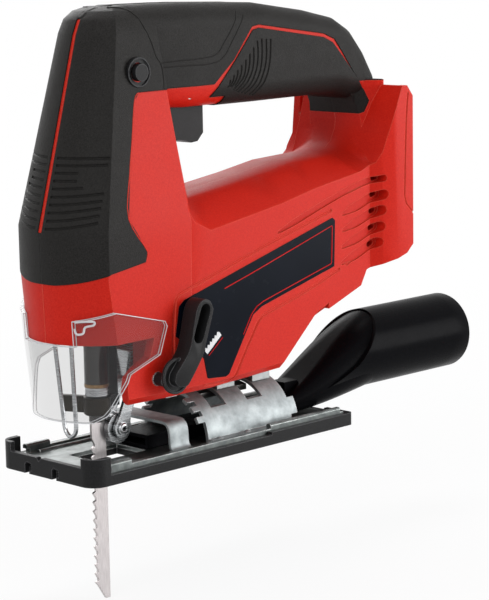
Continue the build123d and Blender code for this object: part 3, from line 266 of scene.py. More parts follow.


# pale corner colours given here: partly wear, partly painted highlight along the edges
red_shell = moulded_plastic("red_shell", (0.50, 0.009, 0.004), (0.61, 0.022, 0.010), 0.42,
                            2.4, wear_and_highlight=(0.80, 0.13, 0.08), specular=0.11)
black_shell = moulded_plastic("black_shell", (0.008, 0.008, 0.008), (0.015, 0.015, 0.016), 0.42,
                              2.0, wear_and_highlight=(0.16, 0.16, 0.165), specular=0.12)
polished_black = moulded_plastic("polished_black", (0.003, 0.003, 0.0035),
                                 (0.005, 0.005, 0.006), 0.26, 0.25, specular=0.015)
soft_grip = soft_rubber("soft_grip")
film = glossy_film("dark_film", (0.0015, 0.003, 0.007), (0.003, 0.005, 0.010))
film_red = glossy_film("film_red", (0.52, 0.008, 0.010), (0.60, 0.014, 0.014))
film_white = glossy_film("film_white", (0.74, 0.74, 0.75), (0.82, 0.82, 0.83))
zinc = sheet_metal("zinc_sheet", (0.20, 0.22, 0.225), (0.40, 0.43, 0.435), 0.60, 0.8)
plate_zinc = sheet_metal("plate_zinc", (0.06, 0.066, 0.065), (0.21, 0.23, 0.225), 0.36, 0.6)
cast = sheet_metal("die_cast", (0.20, 0.21, 0.21), (0.36, 0.37, 0.37), 0.42, 1.2)
bright = turned_steel("bright_steel", (0.30, 0.31, 0.32), (0.56, 0.57, 0.58), 0.24)
dark_steel = turned_steel("dark_steel", (0.06, 0.057, 0.055), (0.13, 0.125, 0.12), 0.36)
collar_steel = turned_steel("collar_steel", (0.014, 0.011, 0.007), (0.032, 0.026, 0.018), 0.40)
blade_steel = turned_steel("blade_steel", (0.40, 0.37, 0.37), (0.64, 0.60, 0.60), 0.34,
                           (14, 0.2, 0.4))
spindle = turned_steel("spindle_steel", (0.03, 0.03, 0.03), (0.12, 0.115, 0.11), 0.22,
                       (0.2, 0.2, 14))
bronze = oiled_bronze("bronze")
clear = clear_plastic("clear_guard", 0.14, (0.085, 0.085, 0.088))
# pale, mostly opaque plastic for the whitish beads on the guard: a painted highlight of its
# bright edges
clear_edge_highlight = clear_plastic("clear_edge_highlight", 0.62, (0.86, 0.87, 0.89))
copper = copper_wire("copper")
board_green = moulded_plastic("board_green", (0.01, 0.08, 0.03), (0.015, 0.12, 0.05), 0.3)
magnet = moulded_plastic("magnet", (0.03, 0.03, 0.034), (0.05, 0.05, 0.055), 0.55, 1.5)

finish_of = {
    red_shell: ["housing_left", "housing_right"],
    soft_grip: ["front_grip_left", "front_grip_right", "rear_pad_left", "rear_pad_right"],
    film: ["label_plate"],
    black_shell: ["overshoe", "trigger", "lock_button", "selector_lever", "switch_body",
                  "terminal_block", "cooling_fan", "release_lever"],
    polished_black: ["dust_duct", "hose_tube"],
    zinc: ["bevel_bracket", "bridge_strap", "motor_can"],
    plate_zinc: ["shoe_plate"],
    cast: ["gearbox_plate", "plunger_guide", "bevel_saddle"],
    bright: ["wire_guard", "fork_pin", "trigger_pin", "trigger_spring", "motor_bearings",
             "gear_axle", "rotor_shaft", "motor_pinion", "drive_gear", "crank_pin",
             "crank_roller", "plunger_rod", "pendulum_fork", "roller_axle", "guide_roller",
             "selector_shaft"],
    dark_steel: ["housing_screws", "bevel_clamp", "bevel_screws", "rotor_core"],
    collar_steel: ["clamp_collar"],
    blade_steel: ["saw_blade"],
    spindle: ["clamp_body"],
    bronze: ["lower_bush", "upper_bush", "clamp_ring", "battery_contacts", "brush_holders"],
    clear: ["clear_guard"],
    copper: ["rotor_windings", "commutator"],
    board_green: ["control_board"],
    magnet: ["field_magnets"],
}
for material, names in finish_of.items():
    for name in names:
        node = frame["nodes"][name]
        node.data.materials.clear()
        node.data.materials.append(material)


# -------------------------------------------------------- helpers for new pieces
SIDES = ((-1, "left"), (1, "right"))


def placed(name, mesh):
    item = bpy.data.objects.new(name, mesh)
    bpy.context.scene.collection.objects.link(item)
    return item


def baked(holder):
    """Plain mesh of an object with its modifiers applied; the object goes."""
    graph = bpy.context.evaluated_depsgraph_get()
    mesh = bpy.data.meshes.new_from_object(holder.evaluated_get(graph), depsgraph=graph)
    bpy.data.objects.remove(holder)
    return mesh


def new_tree(name, inputs):
    """Empty geometry tree with a mesh input, the named inputs and a finish."""
    tree = bpy.data.node_groups.new(name, "GeometryNodeTree")
    tree.interface.new_socket("Geometry", in_out="INPUT", socket_type="NodeSocketGeometry")
    for label, kind, value in [*inputs, ("Finish", "NodeSocketMaterial", None)]:
        socket = tree.interface.new_socket(label, in_out="INPUT", socket_type=kind)
        if value is not None:
            socket.default_value = value
    tree.interface.new_socket("Geometry", in_out="OUTPUT", socket_type="NodeSocketGeometry")
    return tree


def end_tree(tree, start, shape):
    """Makes the shape one plain mesh in the finish that was asked for."""
    nodes, links = tree.nodes, tree.links
    real = nodes.new("GeometryNodeRealizeInstances")
    finish = nodes.new("GeometryNodeSetMaterial")
    end = nodes.new("NodeGroupOutput")
    links.new(shape, real.inputs["Geometry"])
    links.new(real.outputs["Geometry"], finish.inputs["Geometry"])
    links.new(start.outputs["Finish"], finish.inputs["Material"])
    links.new(finish.outputs["Geometry"], end.inputs["Geometry"])
    return tree


def bead_tree():
    """Round bead along every edge of the mesh."""
    tree = new_tree("bead_along_line", [("Radius", "NodeSocketFloat", 0.0005),
                                        ("Sides", "NodeSocketInt", 10)])
    nodes, links = tree.nodes, tree.links
    start = nodes.new("NodeGroupInput")
    line = nodes.new("GeometryNodeMeshToCurve")
    round_shape = nodes.new("GeometryNodeCurvePrimitiveCircle")
    sweep = nodes.new("GeometryNodeCurveToMesh")
    sweep.inputs["Fill Caps"].default_value = True
    links.new(start.outputs["Geometry"], line.inputs["Mesh"])
    links.new(start.outputs["Sides"], round_shape.inputs["Resolution"])
    links.new(start.outputs["Radius"], round_shape.inputs["Radius"])
    links.new(line.outputs["Curve"], sweep.inputs["Curve"])
    links.new(round_shape.outputs["Curve"], sweep.inputs["Profile Curve"])
    return end_tree(tree, start, sweep.outputs["Mesh"])


def spread_tree():
    """A copy of one piece on every point, turned to the point's facing."""
    tree = new_tree("spread_on_points", [("Piece", "NodeSocketObject", None),
                                         ("Size", "NodeSocketFloat", 1.0)])
    nodes, links = tree.nodes, tree.links
    start = nodes.new("NodeGroupInput")
    source = nodes.new("GeometryNodeObjectInfo")
    facing = nodes.new("GeometryNodeInputNamedAttribute")
    facing.data_type = "FLOAT_VECTOR"
    facing.inputs["Name"].default_value = "facing"
    turn = nodes.new("FunctionNodeAlignRotationToVector")
    copies = nodes.new("GeometryNodeInstanceOnPoints")
    links.new(start.outputs["Piece"], source.inputs["Object"])
    links.new(facing.outputs["Attribute"], turn.inputs["Vector"])
    links.new(start.outputs["Geometry"], copies.inputs["Points"])
    links.new(source.outputs["Geometry"], copies.inputs["Instance"])
    links.new(turn.outputs["Rotation"], copies.inputs["Rotation"])
    links.new(start.outputs["Size"], copies.inputs["Scale"])
    return end_tree(tree, start, copies.outputs["Instances"])


bead_along_line = bead_tree()
spread_on_points = spread_tree()


def run_tree(name, mesh, tree, **values):
    """Plain mesh that the tree makes of a mesh, with its named inputs set."""
    holder = placed(name, mesh)
    modifier = holder.modifiers.new(name, "NODES")
    modifier.node_group = tree
    for item in tree.interface.items_tree:
        if item.in_out == "INPUT" and item.name in values:
            modifier[item.identifier] = values[item.name]
    return baked(holder)


def smooth_faces(mesh, angle=35):
    mesh.polygons.foreach_set("use_smooth", [True] * len(mesh.polygons))
    mesh.set_sharp_from_angle(angle=radians(angle))


def settle(name, mesh, material, body, slot, *nodes):
    """Piece in its finish that rides on a body and stands for the CAD nodes."""
    mesh.name = name
    mesh.materials.clear()
    mesh.materials.append(material)
    piece = placed(name, mesh)
    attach(piece, body)
    if nodes:
        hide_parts(*nodes)


def line_mesh(lines):
    """Loose edges through lists of points in millimetres."""
    points, edges = [], []
    for line in lines:
        first = len(points)
        points += [tuple(MM * c for c in p) for p in line]
        edges += [(i, i + 1) for i in range(first, len(points) - 1)]
    mesh = bpy.data.meshes.new("line")
    mesh.from_pydata(points, edges, [])
    return mesh


def bead_mesh(lines, radius, material, sides=8):
    mesh = run_tree("bead", line_mesh(lines), bead_along_line, Radius=radius * MM, Sides=sides,
                    Finish=material)
    smooth_faces(mesh, 50)
    return mesh


def rounded(points, steps):
    """Smooth line through points, which may be flat or solid."""
    ends = [points[0], *points, points[-1]]
    result = []
    for before, start, end, after in zip(ends, ends[1:], ends[2:], ends[3:]):
        for step in range(steps):
            t = step / steps
            result.append(tuple(
                0.5 * (2 * b + (c - a) * t + (2 * a - 5 * b + 4 * c - d) * t * t
                       + (3 * b - a - 3 * c + d) * t ** 3)
                for a, b, c, d in zip(before, start, end, after)))
    result.append(tuple(points[-1]))
    return result


class Skin:
    """Outer surface of CAD nodes, to lay lines on."""

    clear_of_body = 60

    def __init__(self, *nodes):
        points, faces = [], []
        for node in nodes:
            mesh = frame["nodes"][node].data
            first = len(points)
            points += [v.co / MM for v in mesh.vertices]
            faces += [[first + i for i in face.vertices] for face in mesh.polygons]
        self.tree = BVHTree.FromPolygons(points, faces)

    def meet(self, start, way):
        return self.tree.ray_cast(Vector(start), Vector(way))[0]

    def from_side(self, outline, side, lift):
        """Points (x, z) laid on the left (-1) or right (1) face."""
        laid = []
        for x, z in outline:
            hit = self.meet((x, self.clear_of_body * side, z), (0, -side, 0))
            if hit:
                laid.append((x, hit.y + side * lift, z))
        return laid

    def from_front(self, outline, lift):
        """Points (y, z) laid on the front face."""
        laid = []
        for y, z in outline:
            hit = self.meet((-self.clear_of_body, y, z), (1, 0, 0))
            if hit:
                laid.append((hit.x - lift, y, z))
        return laid


def merged_copy(node):
    """Copy of a CAD node's mesh with its triangles joined."""
    mesh = frame["nodes"][node].data.copy()
    work = bmesh.new()
    work.from_mesh(mesh)
    bmesh.ops.remove_doubles(work, verts=work.verts, dist=1e-6)
    work.to_mesh(mesh)
    work.free()
    if "custom_normal" in mesh.attributes:
        mesh.attributes.remove(mesh.attributes["custom_normal"])
    return mesh


def volume_of(mesh):
    work = bmesh.new()
    work.from_mesh(mesh)
    volume = abs(work.calc_volume())
    work.free()
    return volume


def cut_once(mesh, cutter, solver, crossing):
    target = placed("target", mesh)
    tool = placed("cutter", cutter)
    modifier = target.modifiers.new("cut", "BOOLEAN")
    modifier.operation = "DIFFERENCE"
    modifier.solver = solver
    if solver == "EXACT":
        modifier.use_self = crossing
    modifier.object = tool
    result = baked(target)
    bpy.data.objects.remove(tool)
    return result


def cut_mesh(mesh, cutters, least=0.55, most=1.001):
    """The mesh less the closed cutters, one by one.

    A solver whose result has less than the least or more than the most share of the whole
    volume gives way to the next. When all three do, that cut is left out. A cut that takes
    nothing away is not noticed here.
    """
    whole = volume_of(mesh)
    for number, cutter in enumerate(cutters):
        for solver, crossing in (("EXACT", False), ("EXACT", True), ("MANIFOLD", False)):
            result = cut_once(mesh, cutter, solver, crossing)
            if least * whole < volume_of(result) < most * whole:
                mesh = result
                break
        else:
            print("CUT SKIPPED", number)
    return mesh


def carved(node, name, material, slot, cutters):
    """Copy of a CAD node less the cutters, which takes the node's place."""
    mesh = cut_mesh(merged_copy(node), cutters)
    smooth_faces(mesh)
    settle(name, mesh, material, frame["nodes"][node]["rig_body"], slot, node)


def bevelled(mesh, width):
    holder = placed("holder", mesh)
    modifier = holder.modifiers.new("bevel", "BEVEL")
    modifier.width = width * MM
    modifier.segments = 2
    modifier.limit_method = "ANGLE"
    modifier.angle_limit = radians(35)
    return baked(holder)


def outward(mesh, merge, spikes=False):
    """Joins points, drops faces without area where asked, and turns all faces outwards."""
    work = bmesh.new()
    work.from_mesh(mesh)
    bmesh.ops.remove_doubles(work, verts=work.verts, dist=merge)
    if spikes:
        bmesh.ops.dissolve_degenerate(work, edges=work.edges, dist=1e-7)
    bmesh.ops.recalc_face_normals(work, faces=work.faces)
    work.to_mesh(mesh)
    work.free()
    return mesh


def beside(side):
    """Place for outlines (x, z) that are carried across the tool on one side."""
    return lambda u, v, w: (u, side * w, v)


def across(x, z):
    """Place for turned pieces on an axis that runs to the left side."""
    return lambda u, v, w: (x + u, -w, z + v)


def upright(u, v, w):
    """Place for turned pieces on the vertical axis of the plunger."""
    return u, v, w


def prism(outline, place, low, high):
    """Closed outline carried from low to high; place(u, v, w) gives the point in mm."""
    count = len(outline)
    points = [tuple(MM * c for c in place(u, v, w)) for w in (low, high) for u, v in outline]
    faces = [list(range(count)), list(range(count, 2 * count))]
    faces += [[i, (i + 1) % count, count + (i + 1) % count, count + i] for i in range(count)]
    mesh = bpy.data.meshes.new("prism")
    mesh.from_pydata(points, [], faces)
    return outward(mesh, 1e-7)


def lathe(profile, place, segments=48):
    """Profile (radius, height) turned about the axis; closed where the radius is 0."""
    points, faces = [], []
    for radius, height in profile:
        for k in range(segments):
            turn = 2 * pi * k / segments
            points.append(tuple(MM * c for c in place(radius * cos(turn), radius * sin(turn),
                                                      height)))
    for ring in range(len(profile) - 1):
        for k in range(segments):
            n = (k + 1) % segments
            faces.append([ring * segments + k, ring * segments + n,
                          (ring + 1) * segments + n, (ring + 1) * segments + k])
    mesh = bpy.data.meshes.new("lathe")
    mesh.from_pydata(points, [], faces)
    return outward(mesh, 1e-6, spikes=True)


def joined(meshes):
    points, faces = [], []
    for mesh in meshes:
        first = len(points)
        points += [tuple(v.co) for v in mesh.vertices]
        faces += [[first + i for i in face.vertices] for face in mesh.polygons]
    result = bpy.data.meshes.new("joined")
    result.from_pydata(points, [], faces)
    return result


def slot_outline(start, end, half, steps=8):
    """Outline of a bar with round ends."""
    (ax, ay), (bx, by) = start, end
    long = sqrt((bx - ax) ** 2 + (by - ay) ** 2)
    ux, uy = (bx - ax) / long, (by - ay) / long
    outline = []
    for (cx, cy), sign in (((bx, by), 1), ((ax, ay), -1)):
        for k in range(steps + 1):
            turn = -pi / 2 + pi * k / steps
            du, dv = sign * half * cos(turn), sign * half * sin(turn)
            outline.append((cx + ux * du - uy * dv, cy + uy * du + ux * dv))
    return outline


def two_edges(line, halves):
    """Lines to the left and right of a flat line, at its half widths."""
    upper, lower = [], []
    for before, here, after, half in zip([line[0], *line], line, [*line[1:], line[-1]],
                                         halves):
        along = Vector((after[0] - before[0], after[1] - before[1])).normalized()
        upper.append((here[0] - along.y * half, here[1] + along.x * half))
        lower.append((here[0] + along.y * half, here[1] - along.x * half))
    return upper, lower


def star(x, z, radius, depth, lobes=6):
    """Outline of a lobed drive about a centre."""
    outline = []
    for k in range(lobes * 6):
        turn = 2 * pi * k / (lobes * 6)
        reach = radius * (1 + depth * cos(lobes * turn))
        outline.append((x + reach * cos(turn), z + reach * sin(turn)))
    return outline


# ------------------------------------------------------------- soft overmould
grip_skin = Skin("front_grip_left", "front_grip_right")
pad_skin = Skin("rear_pad_left", "rear_pad_right")
shell_skin = Skin("housing_left", "housing_right")
side_skin = Skin("housing_left", "housing_right", "front_grip_left", "front_grip_right")

# grooves across the nose: height at the rib and at the corner, and how far they run
nose_grooves = [
    (135.2, 135.7, 24.5), (132.2, 133.0, 24.5), (129.1, 130.3, 14.5), (125.9, 127.3, 14.5),
    (122.7, 124.6, 17.5), (119.4, 121.7, 25.0), (116.2, 118.8, 25.0), (112.9, 116.0, 25.0),
    (109.6, 113.0, 25.0), (106.3, 110.1, 25.0),
]
groove_start = 3.0      # clear of the rib on the middle line
groove_span = 24.5      # from there to the corner of the nose
# grooves on the front of the rear pad, as (x, z)
pad_grooves = [
    [(91.2, 179.6), (90.6, 171.3), (89.1, 165.4), (85.9, 159.9), (81.1, 155.3)],
    [(88.3, 179.7), (88.3, 173.1), (87.2, 167.2), (83.6, 160.3), (78.8, 155.6)],
    [(85.4, 179.8), (85.6, 173.2), (84.3, 166.3), (81.1, 161.0), (75.8, 156.2)],
    [(82.7, 179.1), (83.0, 172.5), (81.7, 166.4), (78.2, 160.7), (73.5, 156.8)],
    [(80.3, 176.3), (80.3, 171.3), (79.1, 166.0), (75.9, 161.3), (70.8, 157.3)],
    [(77.9, 173.6), (77.7, 169.8), (76.5, 165.6), (73.6, 161.5), (69.3, 158.0)],
    [(75.4, 171.2), (75.1, 167.6), (73.9, 164.1), (70.9, 161.1), (67.8, 158.6)],
    [(72.8, 169.0), (72.4, 165.8), (71.0, 163.0), (68.3, 160.2)],
    [(70.3, 166.9), (69.9, 164.4), (68.3, 161.8), (66.2, 159.8)],
    [(68.0, 164.8), (67.2, 162.4), (65.2, 160.2)],
    [(65.7, 162.9), (64.9, 160.7), (63.9, 159.6)],
]


def nose_line(side, low, high, run, steps=14):
    """Groove that starts beside the rib and climbs towards the corner."""
    outline = []
    for k in range(steps + 1):
        y = groove_start + (run - groove_start) * k / steps
        climb = ((y - groove_start) / groove_span) ** 1.7
        outline.append((side * y, low + (high - low) * climb))
    return grip_skin.from_front(outline, 0.05)


for side, word in SIDES:
    lines = [nose_line(side, *row) for row in nose_grooves]
    carved("front_grip_" + word, "nose_grip_" + word, soft_grip, "soft grip",
           [bead_mesh(lines, 0.62, soft_grip)])
    lines = [pad_skin.from_side(rounded(row, 5), side, 0.05) for row in pad_grooves]
    carved("rear_pad_" + word, "handle_pad_" + word, soft_grip, "soft grip",
           [bead_mesh([line], 0.5, soft_grip, 6) for line in lines])


# ---------------------------------------------------------------- red housing
groove_floor = 27.3     # distances from the middle, across the tool
groove_top = 40.0
foot_side = 35.5        # half width of the battery foot
cheek_side = 17.3       # where the far cheek and the far flare are cut back to
flare_side = 24.2
outside = 60.0          # beyond every side face
lock_button = (9.8, 169.5)

# grooves that run forward from the vent holes: their middle lines and half widths
vent_grooves = [
    ([(84.0, 94.6), (116.0, 105.0), (136.0, 110.6), (150.6, 113.1)], 1.5),
    ([(126.5, 98.4), (136.9, 101.4), (144.7, 104.0), (150.6, 105.6)], 2.3),
    ([(126.5, 90.9), (136.8, 94.0), (144.6, 96.6), (149.6, 98.4)], 2.3),
    ([(126.0, 83.2), (136.7, 86.4), (144.5, 89.1), (149.0, 90.8)], 2.3),
    ([(125.5, 75.8), (136.6, 79.2), (143.3, 81.8), (148.0, 83.4)], 2.3),
]
foot_outline = [
    (164.6, 152.0), (163.4, 141.0), (162.6, 126.0), (161.9, 104.0), (163.1, 100.2),
    (166.3, 97.2), (169.0, 95.0),
]
label_surround = [
    (19.2, 49.0), (19.4, 57.0), (20.0, 64.0), (20.9, 71.4), (22.0, 73.6), (24.8, 75.2),
    (40.3, 79.7), (75.6, 89.6), (104.0, 97.0), (119.6, 101.0),
]
label_surround_low = [
    (124.6, 73.6), (102.6, 66.3), (76.8, 59.6), (72.2, 57.6), (69.8, 55.0), (62.6, 44.6),
    (56.0, 34.4), (53.8, 32.4), (50.0, 31.9), (38.6, 32.6),
]
# what the far half is cut back by: the cheek of the bay and the front of the foot
far_cheek = [(-45.0, 57.6), (24.0, 58.3), (25.5, 50.0), (22.0, 40.0), (20.5, 34.0),
             (22.0, 28.0), (22.0, 10.0), (-45.0, 10.0)]
far_flare = [(138.0, 118.5), (147.5, 119.0), (156.0, 122.5), (161.0, 130.0), (162.6, 146.0),
             (163.4, 162.0), (138.0, 162.0)]


def vent_cutter(side, path, half, start=0.35, taper=14.0):
    """Shallow groove with a narrow start and a round end at the vent hole."""
    line = rounded(path, 5)
    halves = [half * min(1.0, start + (x - line[0][0]) / taper) for x, z in line]
    upper, lower = two_edges(line, halves)
    end = slot_outline(line[-2], line[-1], half)[1:8]
    return prism([*lower, *end, *reversed(upper)], beside(side), groove_floor, groove_top)


def shell_cutters(side):
    cutters = [vent_cutter(side, *row) for row in vent_grooves]
    foot_line = [(x, side * foot_side, z) for x, z in foot_outline]
    cutters.append(bead_mesh([foot_line], 0.5, red_shell))
    if side < 0:
        for path in (label_surround, label_surround_low):
            laid = shell_skin.from_side(rounded(path, 4), side, 0.25)
            cutters.append(bead_mesh([laid], 0.85, red_shell))
    else:
        cutters.append(prism(far_cheek, beside(1), cheek_side, outside))
        cutters.append(prism(far_flare, beside(1), flare_side, outside))
    return cutters


for side, word in SIDES:
    carved("housing_" + word, "red_housing_" + word, red_shell, "red shell plastic",
           shell_cutters(side))


def top_seam_filler(half=1.35, proud=0.22, depth=1.0, beside_seam=2.2, above=260):
    """Black filler in the parting line, from the top of the red rib backwards."""
    stations = (-3.2, -1.0, 1.5, 4.0, 8.0, 16, 30, 46, 62, 78, 94, 110, 124, 136, 144)
    hits = [(x, side_skin.meet((x, beside_seam, above), (0, 0, -1))) for x in stations]
    path = [(x, hit.z) for x, hit in hits if hit]
    outline = [(x, z + proud) for x, z in path] + [(x, z - depth) for x, z in reversed(path)]
    seam = bevelled(prism(outline, beside(1), -half, half), 0.2)
    smooth_faces(seam)
    settle("top_seam_filler", seam, soft_grip, "housing", "soft grip")


top_seam_filler()

# lines that frame the raised panels of the grip
grip_creases = [
    [(4.8, 196.4), (10.7, 195.6), (14.3, 192.5), (17.1, 186.9), (19.8, 180.6), (21.3, 175.6),
     (23.6, 172.1), (24.2, 167.6), (23.9, 161.6)],
    [(24.0, 172.4), (35.9, 172.8), (51.6, 173.4), (58.1, 174.8), (62.3, 179.2), (67.3, 185.3),
     (70.7, 190.3), (72.0, 192.6)],
    [(24.2, 170.4), (35.8, 170.6), (54.6, 170.7), (61.9, 173.2), (66.5, 178.6), (72.3, 186.4),
     (75.4, 190.6)],
]
crease_names = {"left": "line.057", "right": "line.059"}     # fixed names of these pieces
for side, word in SIDES:
    lines = [side_skin.from_side(rounded(path, 6), side, -0.12) for path in grip_creases]
    settle(crease_names[word], bead_mesh(lines, 0.34, soft_grip), soft_grip, "housing",
           "soft grip")

# cup that lines the recess of the lock button: radius and distance from the middle
cup_profile = [(4.15, 19.3), (6.2, 19.3), (6.2, 21.8), (5.7, 21.8), (5.6, 21.0),
               (4.15, 21.0), (4.15, 19.3)]
cup = lathe(cup_profile, across(*lock_button))
smooth_faces(cup)
settle("button_cup", cup, black_shell, "housing", "black plastic")


# ---------------------------------------------------------------- label prints
print_face = 28.62      # just proud of the label plate
label_border = [
    (50.0, 73.9), (66.2, 78.4), (93.5, 86.4), (119.0, 94.0), (119.4, 93.4), (118.7, 77.3),
    (118.2, 76.6), (96.0, 70.9), (74.0, 65.2), (69.8, 63.4), (66.4, 60.4), (61.1, 52.0),
]


def printed_line(name, path, radius, sides):
    line = [(x, -print_face, z) for x, z in path]
    settle(name, bead_mesh([line], radius, film_red, sides), film_red, "housing",
           "label film")


def saw_outline(teeth=6):
    """Piece of a saw blade, slanted, with its teeth at the top."""
    outline = []
    for k in range(teeth):
        t = k / teeth
        x, z = 37.6 + 8.6 * t, 48.0 + 7.2 * t
        outline += [(x, z), (x + 0.2, z + 1.5)]
    return outline + [(46.4, 55.4), (47.6, 53.8), (39.0, 46.6)]


printed_line("label_border", label_border, 0.24, 8)
settle("saw_mark", prism(saw_outline(), beside(-1), 28.3, 28.72), film_white, "housing",
       "label film")
printed_line("saw_mark_line", [(39.9, 45.9), (48.4, 52.7)], 0.22, 6)


# -------------------------------------------------------------- selector lever
lever_outline = [
    (11.4, 43.2), (17.2, 49.4), (19.3, 52.2), (20.7, 55.7), (23.0, 65.0), (24.2, 69.0),
    (26.2, 71.9), (29.2, 73.0), (32.0, 71.9), (33.4, 69.2), (33.5, 66.8), (28.9, 53.7),
    (26.5, 48.0), (19.2, 38.6), (17.0, 37.3), (14.0, 37.3), (11.6, 38.6), (10.6, 41.0),
]
lever_pivot = (9.5, 40.4)
dish_centre = (14.6, 41.6)


def lever_arm(low=30.2, high=38.4, steps=4):
    """Cranked arm with a long slot in its outer face."""
    ring = [*lever_outline[-2:], *lever_outline, *lever_outline[:1]]
    outline = rounded(ring, steps)[2 * steps:-steps - 1]
    pocket = prism(slot_outline((25.0, 57.4), (29.3, 68.2), 2.9), beside(-1), 32.0, 45.0)
    return bevelled(cut_mesh(prism(outline, beside(-1), low, high), [pocket]), 0.45)


dish = lathe([(0.0, 33.4), (7.2, 33.4), (7.8, 33.9), (7.8, 35.0), (7.4, 35.4), (6.8, 35.4),
              (6.4, 35.0), (6.4, 34.3), (0.0, 34.3)], across(*dish_centre))
stem = lathe([(0.0, 28.95), (2.8, 28.95), (2.8, 33.8), (0.0, 33.8)],
             across(*lever_pivot), 32)
lever = joined([lever_arm(), dish, stem])
smooth_faces(lever)
settle("orbit_lever", lever, black_shell, "orbit_selector", "black plastic", "selector_lever")


# ------------------------------------------------------- guard and finger wire
def sharp_edges(node, angle, keep):
    """Loose edges along the corners of a CAD node, as a line mesh."""
    work = bmesh.new()
    work.from_mesh(merged_copy(node))
    points, edges, index = [], [], {}
    for edge in work.edges:
        sharp = len(edge.link_faces) == 2 and edge.calc_face_angle(0) > radians(angle)
        if not sharp or not all(keep(v.co / MM) for v in edge.verts):
            continue
        pair = []
        for v in edge.verts:
            if v.index not in index:
                index[v.index] = len(points)
                points.append(tuple(v.co))
            pair.append(index[v.index])
        edges.append(pair)
    work.free()
    mesh = bpy.data.meshes.new("edges")
    mesh.from_pydata(points, edges, [])
    return mesh


def near_wing(p):
    """All of the guard but the top of its far wing."""
    return p.y < 24 or p.z < 56


# whitish bead along the guard's sharp edges: painted highlight
rim = run_tree("guard_rim", sharp_edges("clear_guard", 50, near_wing), bead_along_line,
               Radius=0.22 * MM, Sides=6, Finish=clear_edge_highlight)
smooth_faces(rim, 60)
settle("guard_rim", rim, clear_edge_highlight, "clear_guard", "clear plastic")

# finger wire ahead of the blade: (y, z) points of a narrow loop
wire_x = -18.2
wire_loop = [(8.2, 76.0), (4.8, 52.2), (1.2, 26.0), (0.3, 20.0), (-1.2, 17.4), (-3.6, 16.3),
             (-6.0, 17.6), (-7.0, 20.4), (-6.8, 27.0), (-5.6, 53.0), (-4.6, 76.0)]
wire_line = rounded([(wire_x, y, z) for y, z in wire_loop], 6)
settle("finger_wire", bead_mesh([wire_line], 0.95, bright, 14), bright, "housing",
       "bright steel", "wire_guard")


# ------------------------------------------------------------------ hose sleeve
hose_axis = 27.0
hose_radius = 18.5
hose_end = 231.0
bore_radius = 16.3
inner_radius = 15.75
# how far forward the tube reaches at each height (z, x)
sleeve_front = [(8.5, 109.0), (10.6, 121.5), (15.5, 134.0), (23.6, 149.0), (30.3, 156.5),
                (37.6, 163.5), (43.6, 168.8), (45.5, 170.2)]
# rings (x, radius) of the rolled rear edge and of the bore
sleeve_bore = [(hose_end - 0.2, 18.3), (hose_end, 17.9), (hose_end, 16.9),
               (hose_end - 0.4, 16.4), (hose_end - 1.2, bore_radius), (181.0, bore_radius),
               (180.4, inner_radius), (172.0, inner_radius)]
duct_skin = Skin("dust_duct")


def sleeve_start(z):
    for (low, first), (high, last) in zip(sleeve_front, sleeve_front[1:]):
        if z <= high:
            return first + (last - first) * max(0.0, (z - low) / (high - low))
    return sleeve_front[-1][1]


def lip_point(x, y, z, inset=0.8, gap=0.3, overlap=0.5, middle_band=0.6):
    """Point of the front lip, which dips into the duct's wall."""
    if abs(y) <= middle_band:
        return x + inset, y, z - gap * (1 if z > hose_axis else -1)
    side = -1 if y < 0 else 1
    hit = duct_skin.meet((x + inset, 40 * side, z), (0, -side, 0))
    reach = abs(hit.y) - overlap if hit else 0.5 * abs(y)
    return x + inset, side * min(reach, abs(y) - gap), z


def sleeve_mesh(segments=96, steps=8):
    """Tube with a rolled rear edge, cut on a slope round the duct at its front."""
    turns = [2 * pi * k / segments for k in range(segments)]
    outer = [(hose_radius * cos(t), hose_axis + hose_radius * sin(t)) for t in turns]
    starts = [sleeve_start(z) for y, z in outer]
    rings = [[lip_point(x, y, z) for (y, z), x in zip(outer, starts)]]
    for step in range(steps + 1):
        rings.append([(x + (hose_end - 0.8 - x) * step / steps, y, z)
                      for (y, z), x in zip(outer, starts)])
    for x, radius in sleeve_bore:
        rings.append([(x, radius * cos(t), hose_axis + radius * sin(t)) for t in turns])
    points = [tuple(MM * c for c in p) for ring in rings for p in ring]
    faces = []
    for a in range(len(rings)):
        b = (a + 1) % len(rings)
        for k in range(segments):
            n = (k + 1) % segments
            faces.append([a * segments + k, a * segments + n, b * segments + n, b * segments + k])
    mesh = bpy.data.meshes.new("hose_sleeve")
    mesh.from_pydata(points, [], faces)
    return outward(mesh, 1e-7)


sleeve = sleeve_mesh()
smooth_faces(sleeve, 40)
settle("hose_sleeve", sleeve, polished_black, "dust_port", "black plastic", "hose_tube")


# --------------------------------------------------------------- shoe and strap
def strap_band(low_x=22.2, high_x=33.2, thick=1.5):
    """Sheet strap from edge to edge of the plate: (y, z) line carried along X."""
    half = rounded([(-24.9, 5.5), (-23.2, 5.6), (-21.9, 6.6), (-21.3, 8.6), (-21.1, 12.6),
                    (-20.4, 15.2), (-18.8, 16.9), (-16.4, 17.4), (-9.0, 17.45)], 4)
    path = half + [(-y, z) for y, z in reversed(half)]
    upper, lower = two_edges(path, [thick / 2] * len(path))
    strap = prism([*upper, *reversed(lower)], lambda u, v, w: (w, u, v), low_x, high_x)
    strap = bevelled(strap, 0.3)
    smooth_faces(strap)
    settle("strap_band", strap, zinc, "shoe", "zinc sheet", "bridge_strap")


def plate_ribs(edge=23.6, front=-22.0):
    """Stamped ribs along both edges and across the front of the plate."""
    lines = [[(x, side * edge, 4.5) for x in (-14.0, 20.0, 60.0, 118.0)] for side in (-1, 1)]
    lines.append([(front, y, 4.3) for y in (-17.0, 0.0, 17.0)])
    settle("plate_ribs", bead_mesh(lines, 1.3, plate_zinc, 12), plate_zinc, "shoe",
           "zinc sheet")


